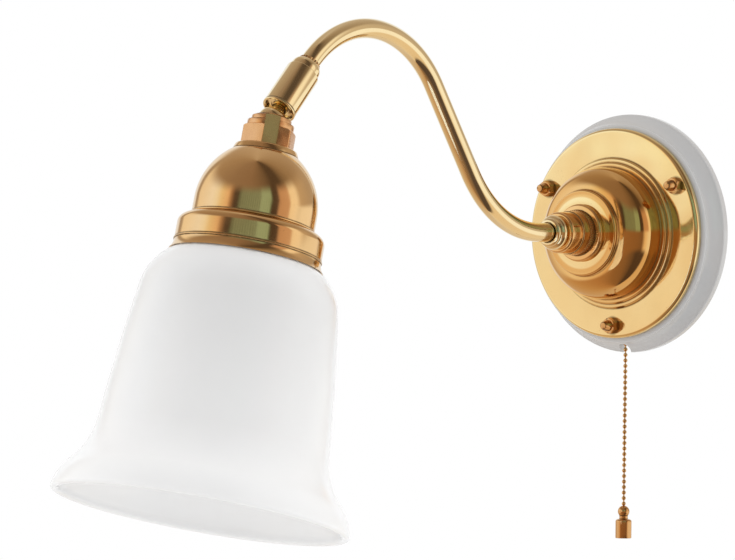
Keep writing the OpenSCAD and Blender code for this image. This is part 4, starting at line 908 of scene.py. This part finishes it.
class WALLLAMP_OT_stage(WallLampStep, bpy.types.Operator):
    """Set up camera, floor, soft lamps and the white studio"""

    bl_idname = "wall_lamp.stage"
    bl_label = "Studio"

    def execute(self, context):
        studio = context.scene.wall_lamp_studio
        self.camera(context, studio)
        self.floor(context, studio)
        self.lamps(context, studio)
        self.surroundings(context, studio)
        context.scene.view_settings.view_transform = "Standard"
        return {"FINISHED"}

    def camera(self, context, studio):
        """The photograph's view: three-quarter from the right, level, through a long lens."""
        a, e, r = studio.camera_azimuth, studio.camera_height, studio.camera_roll
        level = Vector((math.cos(a), math.sin(a), 0))
        behind = Vector((math.sin(a) * math.cos(e), -math.cos(a) * math.cos(e), math.sin(e)))
        above = behind.cross(level)
        right = math.cos(r) * level + math.sin(r) * above
        up = math.cos(r) * above - math.sin(r) * level
        at = (studio.camera_distance * behind - studio.camera_right * right
              - studio.camera_up * up)
        data = bpy.data.cameras.new("camera")
        data.sensor_width = 36.0
        data.lens = studio.camera_lens
        data.clip_start, data.clip_end = 0.05, 60.0
        made = bpy.data.objects.new("camera", data)
        context.scene.collection.objects.link(made)
        made.matrix_world = Matrix((
            (right.x, up.x, behind.x, at.x), (right.y, up.y, behind.y, at.y),
            (right.z, up.z, behind.z, at.z), (0, 0, 0, 1)))
        context.scene.camera = made

    def floor(self, context, studio):
        """A plain pale floor far under the lamp, which keeps its shadow."""
        bm = bmesh.new()
        bmesh.ops.create_circle(
            bm, cap_ends=True, segments=96, radius=FLOOR_RADIUS,
            matrix=Matrix.Translation(LAMP_MIDDLE + Vector((0, 0, -studio.floor_drop))))
        made, tree, shader = new_finish("pale_floor")
        glow = maths(tree, "MULTIPLY", seen_directly(tree), FLOOR_GLOW)
        fill(tree, shader, {"Base Color": (0.93, 0.93, 0.93, 1), "Roughness": 0.9,
                            "Emission Color": (1, 1, 1, 1), "Emission Strength": glow})
        disc = to_object(bm, "floor", made)
        disc.visible_glossy = False

    def lamps(self, context, studio):
        """Two broad soft lamps at the view's left and right, and one overhead."""
        for name, place, size, power in (
                ("left_lamp", (-1.7, -1.1, 0.5), 1.5, studio.side_lamp),
                ("right_lamp", (1.25, 1.1, 0.45), 1.5, studio.side_lamp),
                ("top_lamp", (0.2, -0.9, 1.9), 1.4, 0.65 * studio.side_lamp)):
            data = bpy.data.lights.new(name, "AREA")
            data.shape, data.size, data.energy = "SQUARE", size, power
            made = bpy.data.objects.new(name, data)
            context.scene.collection.objects.link(made)
            made.location = place
            made.rotation_mode = "QUATERNION"
            made.rotation_quaternion = (LAMP_MIDDLE - Vector(place)).to_track_quat("-Z", "Y")
            made.visible_camera = False
            made.visible_glossy = False

    def surroundings(self, context, studio):
        """White behind the lamp, soft light on it, and a room with a window for its mirrors.

        The panoramas go round the room by degrees from the camera's side of the lamp.
        """
        world = bpy.data.worlds.new("studio")
        world.use_nodes = True
        tree = world.node_tree
        tree.nodes.clear()
        a = studio.camera_azimuth
        ray = put(tree, "ShaderNodeTexCoord").outputs["Generated"]

        def along(axis):
            return put(tree, "ShaderNodeVectorMath", {0: ray, 1: axis},
                       operation="DOT_PRODUCT").outputs["Value"]

        side = along((math.cos(a), math.sin(a), 0))
        front = along((math.sin(a), -math.cos(a), 0))
        turn = maths(tree, "ARCTAN2", side, front)
        height = put(tree, "ShaderNodeSeparateXYZ", {"Vector": ray}).outputs["Z"]
        fraction = stretch(tree, turn, -math.pi, math.pi)
        white, dark = (0.9, 0.9, 0.9), (0.10, 0.065, 0.045)

        def panorama(*stops):
            return ramp(tree, fraction, [((degrees + 180) / 360, shade) for degrees, shade in stops])

        def over(edge, below, above):
            part = put(tree, "ShaderNodeMapRange", {"Value": height, "From Min": edge[0],
                                                    "From Max": edge[1]},
                       interpolation_type="SMOOTHSTEP").outputs[0]
            return blended(tree, part, below, above)

        wall = panorama(
            (-180, white), (-151, white), (-146, (0.45, 0.36, 0.27)), (-138, (0.45, 0.36, 0.27)),
            (-132, (0.95, 0.84, 0.66)), (-92, (1.0, 1.0, 1.0)), (-80, (1.0, 0.98, 0.88)),
            (-69, (0.92, 0.77, 0.50)), (-54, (0.9, 0.62, 0.38)), (-47, (0.42, 0.24, 0.13)),
            (-40, dark), (-32, (0.08, 0.06, 0.04)), (-29, (0.16, 0.19, 0.13)),
            (12, (0.18, 0.22, 0.15)), (14, (0.32, 0.45, 0.32)), (31, (0.3, 0.42, 0.29)),
            (34, (0.08, 0.05, 0.03)), (45, dark), (49, (0.6, 0.36, 0.22)), (68, (0.66, 0.42, 0.27)),
            (72, (1.0, 0.86, 0.66)), (85, (1.0, 0.88, 0.70)), (95, (0.6, 0.47, 0.33)),
            (126, (0.5, 0.4, 0.3)), (140, (0.5, 0.4, 0.3)), (149, white), (180, white))
        slat = maths(tree, "SINE", maths(tree, "MULTIPLY", turn, WINDOW_SLATS))
        aside = maths(tree, "ABSOLUTE",
                      maths(tree, "SUBTRACT", turn, math.radians(WINDOW_MIDDLE)))
        pane = stretch(tree, aside, math.radians(WINDOW_HALF + WINDOW_EDGE),
                       math.radians(WINDOW_HALF))
        slat = maths(tree, "MULTIPLY", stretch(tree, slat, -0.3, 0.5, 0.0, 0.55), pane)
        wall = blended(tree, slat, wall, (0.44, 0.55, 0.40))
        ceiling = panorama(
            (-180, (0.56, 0.46, 0.36)), (-120, (0.42, 0.31, 0.21)), (-60, (0.33, 0.23, 0.155)),
            (-12, (0.30, 0.20, 0.13)), (8, (0.24, 0.16, 0.10)), (24, (0.18, 0.12, 0.075)),
            (38, (0.10, 0.066, 0.042)), (56, (0.10, 0.066, 0.042)), (72, (0.26, 0.18, 0.11)),
            (90, (0.36, 0.26, 0.17)), (180, (0.56, 0.46, 0.36)))
        table = panorama(
            (-180, white), (-152, white), (-142, (0.6, 0.48, 0.36)), (-95, (0.97, 0.9, 0.78)),
            (-58, (0.80, 0.55, 0.32)), (-51, (0.45, 0.25, 0.12)), (-34, (0.36, 0.19, 0.085)),
            (20, (0.30, 0.16, 0.07)), (42, (0.25, 0.14, 0.07)), (54, (0.88, 0.68, 0.45)),
            (72, (1.0, 0.94, 0.82)), (128, (1.0, 0.92, 0.78)), (142, (0.6, 0.48, 0.36)),
            (152, white), (180, white))
        ground = panorama(
            (-180, (0.7, 0.58, 0.46)), (-110, (0.62, 0.42, 0.24)), (-70, (0.52, 0.30, 0.15)),
            (-45, (0.34, 0.19, 0.09)), (-14, (0.28, 0.16, 0.08)), (10, (0.18, 0.11, 0.065)),
            (24, dark), (60, dark), (68, (0.80, 0.60, 0.38)), (130, (0.80, 0.64, 0.45)),
            (180, (0.7, 0.58, 0.46)))
        mirrored = over(FLOOR_EDGE, ground,
                        over(TABLE_EDGE, table, over(CEILING_EDGE, wall, ceiling)))
        falloff = -0.15 * studio.fill
        dimmer = maths(tree, "MULTIPLY_ADD", front, falloff, studio.fill)
        dimmer = maths(tree, "MULTIPLY_ADD", height, falloff, dimmer)

        def background(shade, strength):
            return put(tree, "ShaderNodeBackground", {"Color": shade, "Strength": strength}).outputs[0]

        def chosen(choice, first, second):
            return put(tree, "ShaderNodeMixShader", {0: choice, 1: first, 2: second}).outputs[0]

        glossy = put(tree, "ShaderNodeLightPath").outputs["Is Glossy Ray"]
        light = chosen(glossy, background((1, 1, 1, 1), dimmer), background(mirrored, 1.0))
        shown = chosen(seen_directly(tree), light, background((1, 1, 1, 1), 1.0))
        put(tree, "ShaderNodeOutputWorld", {"Surface": shown})
        context.scene.world = world


class WALLLAMP_OT_pull_chain(WallLampStep, bpy.types.Operator):
    """Make the bead chain with its bell pull"""

    bl_idname = "wall_lamp.pull_chain"
    bl_label = "Pull chain"

    def execute(self, context):
        m = measures()
        bm = bmesh.new()
        heights = [m.stop_bead] + [m.first_bead - i * m.bead_pitch for i in range(m.bead_count)]
        for z in heights:
            bmesh.ops.create_uvsphere(bm, u_segments=20, v_segments=12, radius=m.bead_d / 2 * MM,
                                      matrix=raised(m.on_chain, z))
        for high, low in zip(heights[:-1], heights[1:]):
            rod(bm, m.link_d, high - low - 1.6, raised(m.on_chain, (high + low) / 2), 10)
        chain = place_piece(to_object(bm, "bead_chain", finishes()["chain_brass"]), "pull",
                            "chain_brass", "pull_chain")
        r, foot = m.bell_d / 2, m.bell_top - m.bell_h
        neck = r * 0.53
        outline = [*arc((0, m.bell_ball_z), m.bell_ball_d / 2, 90, -43, 28),
                   (neck, m.bell_shoulder + 0.6),
                   *shoulder((neck, m.bell_shoulder), (r, m.bell_top), 12),
                   (r, foot + 0.3), (r - 0.1, foot + 0.08), (r - 0.3, foot), (r - 1.3, foot),
                   (r - 1.4, foot + 0.1), (r - 1.4, m.bell_top - 2), (0, m.bell_top - 2)]
        bell = turned_piece("bell_weight", outline, m.on_chain, "pull", "copper_brass",
                            "bell_pull", 96)
        return {"FINISHED"}


class WALLLAMP_OT_porcelain_base(WallLampStep, bpy.types.Operator):
    """Make the glazed porcelain base with the chain's notch"""

    bl_idname = "wall_lamp.porcelain_base"
    bl_label = "Porcelain base"

    def execute(self, context):
        m = measures()
        f = finishes()["porcelain"]
        r, bead = m.base_d / 2, 1.5
        outline = [(r - m.base_wall, 0), *arc((r - 0.5, 0.5), 0.5, -90, 0, 5),
                   *arc((r - 1.2, m.base_rim_h), 1.2, 0, 55, 8),
                   *bow((r - 0.9, m.base_rim_h + 1.1), (m.lip_r - 0.5, m.base_depth - 2 * bead - 0.4),
                        -14, 18),
                   *arc((m.lip_r - bead, m.base_depth - bead), bead, -40, 90, 16),
                   (m.base_opening_d / 2 + 0.8, m.base_depth),
                   (m.base_opening_d / 2, m.base_depth - 0.8), (m.base_opening_d / 2, m.porcelain_back),
                   (m.lip_r - m.base_wall, m.porcelain_back)]
        base = lathe_object("porcelain_base", outline, f, m.on_wall, 200)
        tunnel = bmesh.new()
        half, top = m.notch_w / 2, m.notch_depth - m.notch_w / 2
        profile = [(-half, -1), (half, -1), *arc((0, top), half, 0, 180, 24)]
        verts = [tunnel.verts.new((p[0] * MM, (-r - 10) * MM, p[1] * MM)) for p in profile]
        pull_out(tunnel, [tunnel.faces.new(verts)], (0, 20, 0), keep=True)
        bmesh.ops.transform(tunnel, matrix=m.on_wall, verts=tunnel.verts)
        carve(base, to_object(tunnel, "notch", f))
        for place in at_studs(m):
            hole = bmesh.new()
            rod(hole, m.stud_d + 0.6, 20, raised(place, m.base_depth), 32)
            carve(base, to_object(hole, "hole", f))
        place_piece(base, "base", "porcelain", "base_housing")
        return {"FINISHED"}


class WALLLAMP_OT_wall_plate(WallLampStep, bpy.types.Operator):
    """Make the spun brass wall plate with its stepped dome"""

    bl_idname = "wall_lamp.wall_plate"
    bl_label = "Wall plate"

    def execute(self, context):
        m = measures()
        # Seams where painted shade darkens the brass
        seams = [(m.boss_disc_d / 2 - 1, m.dome_top), (m.plate_d / 2, m.base_depth)]
        turned_piece("spun_plate", plate_outline(m), m.on_wall, "base", "polished_brass",
                     "wall_plate", 240, seams)
        return {"FINISHED"}


class WALLLAMP_OT_cap_nuts(WallLampStep, bpy.types.Operator):
    """Make the three cap nuts that hold the plate"""

    bl_idname = "wall_lamp.cap_nuts"
    bl_label = "Cap nuts"

    def execute(self, context):
        m = measures()
        finish = finishes()["copper_brass"]
        low, high, af = m.plate_front, m.plate_front + m.nut_hex_h, m.nut_af
        corner = af / 2 / math.cos(math.radians(30))
        rise = (corner - af / 2) / 2
        nut = hexagon("cap_nut_set", af, low, high, finish, 0, 0.25)
        cone = [(0, low), (af / 2 + 0.1, low), (corner, low + rise), (corner, high - rise),
                (af / 2 + 0.1, high), (0, high)]
        # The nut's foot gets painted shade where it meets the plate
        foot = [(af / 2 + 0.1, low), (corner, low)]
        carve(nut, lathe_object("trim", cone, finish, steps=72, seams=foot), "INTERSECT")
        tip = high + m.nut_cone_h
        acorn = [(0, low + 0.4), (af / 2 - 0.85, low + 0.4), (af / 2 - 0.85, high + 0.3),
                 *bow((af / 2 - 0.9, high + 0.5), (af / 4 + 0.2, tip - 0.5), 12, 10),
                 *arc((af / 4 - 0.4, tip - 0.6), 0.6, 10, 90, 6), (0, tip)]
        carve(nut, lathe_object("acorn", acorn, finish, steps=72), "UNION")
        bore = m.stud_d / 2 + m.run_fit
        well = [(0, low - 0.5), (bore, low - 0.5), (bore, high), (0, high)]
        carve(nut, lathe_object("well", well, finish, steps=48))
        single = nut.data.copy()
        bm = bmesh.new()
        for place in at_studs(m):
            known = len(bm.verts)
            bm.from_mesh(single)
            bm.verts.ensure_lookup_table()
            bmesh.ops.transform(bm, matrix=place, verts=bm.verts[known:])
        bm.to_mesh(nut.data)
        bm.free()
        bpy.data.meshes.remove(single)
        soften_edges(nut, 0.12)
        place_piece(nut, "base", "copper_brass", "cap_nuts")
        return {"FINISHED"}


class WALLLAMP_OT_swivel_boss(WallLampStep, bpy.types.Operator):
    """Make the flange disc, knurled lock ring and barrel of the swivel"""

    bl_idname = "wall_lamp.swivel_boss"
    bl_label = "Swivel boss"

    def execute(self, context):
        m = measures()
        bore, edge = m.thread_r + m.run_fit, m.boss_disc_t / 2 - 0.1
        disc = [(bore, m.dome_top), (m.boss_disc_d / 2 - edge, m.dome_top),
                *arc((m.boss_disc_d / 2 - edge, m.dome_top + edge), edge, -80, 90, 18),
                (m.knurl_d / 2, m.disc_front), (bore, m.disc_front)]
        # Seams where painted shade darkens the brass
        seams = [(m.boss_disc_d / 2 - edge, m.dome_top), (m.knurl_d / 2, m.disc_front)]
        turned_piece("swivel_disc", disc, m.on_wall, "base", "polished_brass", "boss_disc",
                     seams=seams, finish="boss_brass")
        ring = toothed("knurled_lock_ring", m.knurl_teeth, m.knurl_d / 2, 0.5, bore,
                       m.disc_front, m.knurl_front, m.on_wall)
        soften_edges(ring, 0.12, 1)
        place_piece(ring, "base", "knurled_brass", "knurled_ring")
        r, spigot = m.barrel_d / 2, m.spigot_d / 2
        barrel = [(bore, m.knurl_front), (r - 0.2, m.knurl_front),
                  *arc((r - 0.1, m.knurl_front + 0.5), 0.5, -60, 0, 4),
                  *arc((r - 0.1, m.knurl_front + 5.1), 0.5, 0, 60, 4), (r, m.knurl_front + 5.9),
                  *arc((r - 1.8, m.barrel_front - 1.5), 1.5, 0, 90, 12),
                  (spigot + m.run_fit, m.barrel_front), (spigot + m.run_fit, m.chamber_end),
                  (spigot + 2.2, m.chamber_end), (spigot + 2.2, m.nipple_end), (bore, m.nipple_end)]
        # Seams where painted shade darkens the brass
        seams = [(r - 0.2, m.knurl_front), (spigot + m.run_fit, m.barrel_front)]
        turned_piece("swivel_barrel", barrel, m.on_wall, "base", "polished_brass", "barrel",
                     seams=seams, finish="boss_brass")
        return {"FINISHED"}


class WALLLAMP_OT_swan_neck(WallLampStep, bpy.types.Operator):
    """Make the bent tube and its collar"""

    bl_idname = "wall_lamp.swan_neck"
    bl_label = "Swan neck"

    def execute(self, context):
        m = measures()
        bm = bmesh.new()
        along = bm.verts.layers.float.new("along")
        around = bm.verts.layers.float.new("around")
        loops = []
        for radius in (m.tube_r, m.tube_r - m.tube_wall):
            ring = bmesh.ops.create_circle(bm, segments=64, radius=radius * MM)["verts"]
            for i, vert in enumerate(ring):
                vert[around] = i / len(ring)
            loops.append(ring)
        stations = tube_stations(m)

        def pose(station):
            place, slope = station
            return (Matrix.Translation((0, place[0] * MM, place[1] * MM))
                    @ Matrix.Rotation(math.radians(90 - slope), 4, "X"))

        bmesh.ops.transform(bm, matrix=pose(stations[0]), verts=bm.verts)
        edges = bm.edges[:]
        first = edges
        travelled = 0.0
        for before, after in zip(stations[:-1], stations[1:]):
            travelled += (after[0] - before[0]).length
            grown = bmesh.ops.extrude_edge_only(bm, edges=edges)["geom"]
            verts = [g for g in grown if isinstance(g, bmesh.types.BMVert)]
            edges = [g for g in grown if isinstance(g, bmesh.types.BMEdge)]
            bmesh.ops.transform(bm, matrix=pose(after) @ pose(before).inverted(), verts=verts)
            for vert in verts:
                vert[along] = travelled
        bmesh.ops.bridge_loops(bm, edges=first)
        bmesh.ops.bridge_loops(bm, edges=edges)
        place_piece(to_object(bm, "swan_neck_tube", finishes()["arm_brass"]), "arm", "arm_brass",
                    "arm_tube")
        bead = (m.collar_len - 0.6) / 2
        neck, spigot, ring = m.collar_d / 2 - bead, m.spigot_d / 2, m.collar_ring_d / 2
        front = m.collar_ring_front
        outline = [(m.wire_r, m.spigot_end), (spigot - 0.4, m.spigot_end),
                   (spigot, m.spigot_end + 0.4), (spigot, m.collar_back), (neck, m.collar_back),
                   *arc((neck, m.collar_back + bead), bead, -90, 60, 28),
                   (ring - 0.6, m.collar_front - 0.5), (ring - 0.1, m.collar_front - 0.1),
                   (ring, m.collar_front + 0.1), (ring, front - 1.1), (ring - 0.1, front - 0.8),
                   (ring - 1.1, front - 0.05), (ring - 1.4, front), (m.tube_r + 0.7, front),
                   (m.tube_r + 0.35, front - 1.2), (m.tube_r + m.run_fit, front - 1.2),
                   (m.tube_r + m.run_fit, m.tube_start), (m.wire_r, m.tube_start)]
        # The collar's seam gets painted shade
        turned_piece("arm_collar_turned", outline, m.on_wall, "arm", "arm_brass", "arm_collar",
                     seams=[(neck, m.collar_back)])
        return {"FINISHED"}


class WALLLAMP_OT_ball_joint(WallLampStep, bpy.types.Operator):
    """Make the sleeve, toothed ring, ball and hexagonal cap of the joint"""

    bl_idname = "wall_lamp.ball_joint"
    bl_label = "Ball joint"

    def execute(self, context):
        m = measures()
        self.sleeve(m)
        self.ball(m)
        self.cap(m, finishes()["cap_brass"])
        return {"FINISHED"}

    def sleeve(self, m):
        """The sleeve over the ball's stem, with its toothed ring."""
        r, collar, throat = m.sleeve_d / 2, m.sleeve_collar_d / 2, m.tooth_ring_d / 2 - 0.2
        bore = m.tube_r + m.run_fit
        crown = shoulder((throat, m.shoulder_top), (collar, m.collar_top), 14)[::-1]
        outline = [(bore, m.sleeve_recess), (r - 1.2, m.sleeve_recess), (r - 1.2, m.sleeve_foot + 0.2),
                   (r - 1, m.sleeve_foot), *arc((r - 0.45, m.sleeve_foot + 0.45), 0.45, -90, 0, 5),
                   (r, m.sleeve_foot + 1.0), (r - 0.15, m.sleeve_foot + 1.3),
                   *arc((r - 0.55, m.sleeve_top - 0.4), 0.4, 0, 90, 5), (collar, m.sleeve_top),
                   *crown, (bore, m.shoulder_top)]
        turned_piece("ball_sleeve", outline, m.in_sleeve, "sleeve", "arm_brass", "sleeve")
        ring = toothed("toothed_ring", m.tooth_ring_teeth, m.tooth_ring_d / 2, 0.4, bore,
                       m.shoulder_top, m.shoulder_top + m.tooth_ring_t, m.in_sleeve)
        soften_edges(ring, 0.15)
        place_piece(ring, "sleeve", "knurled_brass", "sleeve_ring")

    def ball(self, m):
        """The ball with its neck and the stem in the sleeve."""
        neck, bore = m.tube_r - 1.1, 2.4
        high = 90 - math.degrees(math.asin(neck / m.ball_r))
        low = -90 + math.degrees(math.asin(bore / m.ball_r))
        outline = [*arc((0, 0), m.ball_r, low, high, 48), (neck, m.stem_start),
                   (m.tube_r, m.stem_start), (m.tube_r, m.stem_end), (bore, m.stem_end)]
        turned_piece("polished_ball", outline, m.in_sleeve, "sleeve", "arm_brass", "ball_stem")

    def cap(self, m, finish):
        """The hexagonal cap under the ball, with its rings, its hollow and its slot."""
        ring_1, ring_2 = m.cap_ring_1_d / 2, m.cap_ring_2_d / 2
        corner = m.cap_af / 2 / math.cos(math.radians(30))
        rings = [(0, m.cap_lip), (m.seat_r - 0.1, m.cap_lip), (ring_1 - 0.6, m.cap_top - 0.3),
                 (ring_1 - 0.1, m.cap_top), (ring_1, m.cap_top + 0.3), (ring_1, m.cap_ring_2 - 0.3),
                 (ring_1 - 0.4, m.cap_ring_2), (ring_2 - 0.5, m.cap_ring_2),
                 (ring_2 - 0.1, m.cap_ring_2 + 0.2), (ring_2, m.cap_ring_2 + 0.5),
                 (ring_2, m.cap_hex - 0.7), (ring_2 - 0.15, m.cap_hex - 0.25),
                 (ring_2 - 0.5, m.cap_hex - 0.1), (ring_2 - 0.5, m.cap_hex + 0.5),
                 (0, m.cap_hex + 0.5)]
        cap = hexagon("hex_joint_cap", m.cap_af, m.cap_hex, m.cap_end, finish,
                      105.7 - m.cap_slot_turn, 0.5)
        shape = [(0, m.cap_hex - 1), (corner - 1.4, m.cap_hex - 0.5),
                 (corner - 0.9, m.cap_hex), (corner + 0.5, m.cap_hex + 1.4),
                 (corner + 0.5, m.cap_end + 1), (0, m.cap_end + 1)]
        carve(cap, lathe_object("trim", shape, finish), "INTERSECT")
        carve(cap, lathe_object("rings", rings, finish), "UNION")
        hollow = [(0, m.cap_lip - 1), (m.ball_r, m.cap_lip - 1),
                  *arc((0, 0), m.seat_r, math.degrees(math.asin(m.cap_lip / m.seat_r)), 0, 10),
                  (m.cavity_r, 0.01), (m.cavity_r, m.cavity_end),
                  (m.thread_r + m.run_fit, m.cavity_end), (m.thread_r + m.run_fit, m.cap_end + 1),
                  (0, m.cap_end + 1)]
        carve(cap, lathe_object("hollow", hollow, finish))
        floor = m.cavity_r + 0.8
        bm = bmesh.new()
        bmesh.ops.create_cube(bm, size=1.0, matrix=Matrix.Rotation(
            math.radians(-m.cap_slot_turn), 4, "Z") @ Matrix.Translation(
            (0, (floor + corner / 2) * MM, (m.cap_end + m.cap_lip) / 2 * MM)) @ Matrix.Diagonal(
            (m.cap_slot_w * MM, corner * MM, (m.cap_end - m.cap_lip + 1) * MM, 1)))
        carve(cap, to_object(bm, "slot", finish))
        cap.data.transform(m.in_head)
        soften_edges(cap, 0.14)
        place_piece(cap, "head", "cap_brass", "joint_cap")


class WALLLAMP_OT_shade_holder(WallLampStep, bpy.types.Operator):
    """Make the spun holder dome and the shade ring"""

    bl_idname = "wall_lamp.shade_holder"
    bl_label = "Shade holder"

    def execute(self, context):
        m = measures()
        turned_piece("spun_holder", holder_outline(m), m.in_head, "head", "satin_brass",
                     "holder_dome", 240)
        turned_piece("flared_shade_ring", ring_outline(m), m.in_head, "head", "satin_brass",
                     "shade_ring", 240)
        return {"FINISHED"}


class WALLLAMP_OT_opal_shade(WallLampStep, bpy.types.Operator):
    """Make the opal glass bell shade"""

    bl_idname = "wall_lamp.opal_shade"
    bl_label = "Opal shade"

    def execute(self, context):
        m = measures()
        turned_piece("opal_shade", shade_outline(m), m.in_head, "head", "opal_glass",
                     "glass_shade", 256)
        return {"FINISHED"}


class WALLLAMP_OT_bulb(WallLampStep, bpy.types.Operator):
    """Make the bulb's envelope and screw cap"""

    bl_idname = "wall_lamp.bulb"
    bl_label = "Bulb"

    def execute(self, context):
        m = measures()

        def wall(t):
            r = m.bulb_neck_r - t
            return [(r, m.bulb_cap_end), (r, m.bulb_cap_end + 4),
                    *arc((0, m.bulb_centre), m.bulb_r - t, -40, 90, 48)]

        turned_piece("bulb_envelope", wall(0) + wall(m.bulb_glass_t)[::-1], m.in_head, "head",
                     "bulb_white", "bulb_glass", 128)
        r, root, pitch = m.bulb_cap_d / 2, m.bulb_cap_d / 2 - 0.9, 3.6
        thread = [(p[0], m.bulb_start + 4.6 + i * pitch + p[1]) for i in range(5)
                  for p in ((root, 0), (r - 0.2, 0.5), (r, 0.8), (r, 1.4), (r - 0.2, 1.8),
                            (root, 2.3))]
        cap = [(0, m.bulb_start + 1.6), (4.6, m.bulb_start + 1.6), (r - 2.2, m.bulb_start + 4.4),
               *thread, (root, m.bulb_cap_end), (root - 0.8, m.bulb_cap_end),
               (root - 0.8, m.bulb_start + 6), (0, m.bulb_start + 4)]
        turned_piece("bulb_screw_cap", cap, m.in_head, "head", "steel", "bulb_cap", 96)
        return {"FINISHED"}


class WALLLAMP_OT_inner_parts(WallLampStep, bpy.types.Operator):
    """Give the fittings, switch and lampholder parts their finishes"""

    bl_idname = "wall_lamp.inner_parts"
    bl_label = "Inner parts"

    def execute(self, context):
        for slot, names in INNER_PARTS.items():
            for name in names.split():
                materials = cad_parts[name].data.materials
                materials.clear()
                materials.append(finishes()[slot])
        return {"FINISHED"}


STEPS = (WALLLAMP_OT_stage, WALLLAMP_OT_pull_chain, WALLLAMP_OT_porcelain_base,
         WALLLAMP_OT_wall_plate, WALLLAMP_OT_cap_nuts, WALLLAMP_OT_swivel_boss,
         WALLLAMP_OT_swan_neck, WALLLAMP_OT_ball_joint, WALLLAMP_OT_shade_holder,
         WALLLAMP_OT_opal_shade, WALLLAMP_OT_bulb, WALLLAMP_OT_inner_parts)


class VIEW3D_PT_wall_lamp(bpy.types.Panel):
    """Shows the lamp's steps, colours and studio in the 3D view's sidebar"""

    bl_label = "Wall lamp"
    bl_space_type = "VIEW_3D"
    bl_region_type = "UI"
    bl_category = "Wall lamp"

    def draw(self, context):
        column = self.layout.column(align=True)
        for step in STEPS:
            column.operator(step.bl_idname)
        for group in (context.scene.wall_lamp_colours, context.scene.wall_lamp_studio):
            box = self.layout.box()
            for key in group.__annotations__:
                box.prop(group, key)


CLASSES = (LampSizes, LampColours, LampStudio, *STEPS, VIEW3D_PT_wall_lamp)


def register():
    """Registers the classes and hangs the settings on the scene."""
    for each in CLASSES:
        bpy.utils.register_class(each)
    bpy.types.Scene.wall_lamp_sizes = PointerProperty(type=LampSizes)
    bpy.types.Scene.wall_lamp_colours = PointerProperty(type=LampColours)
    bpy.types.Scene.wall_lamp_studio = PointerProperty(type=LampStudio)


def unregister():
    """Takes the settings and classes away again."""
    del bpy.types.Scene.wall_lamp_studio
    del bpy.types.Scene.wall_lamp_colours
    del bpy.types.Scene.wall_lamp_sizes
    for each in reversed(CLASSES):
        bpy.utils.unregister_class(each)


def main():
    """Builds the whole lamp."""
    register()
    for step in STEPS:
        group, name = step.bl_idname.split(".")
        getattr(getattr(bpy.ops, group), name)()


if __name__ == "__main__":
    main()
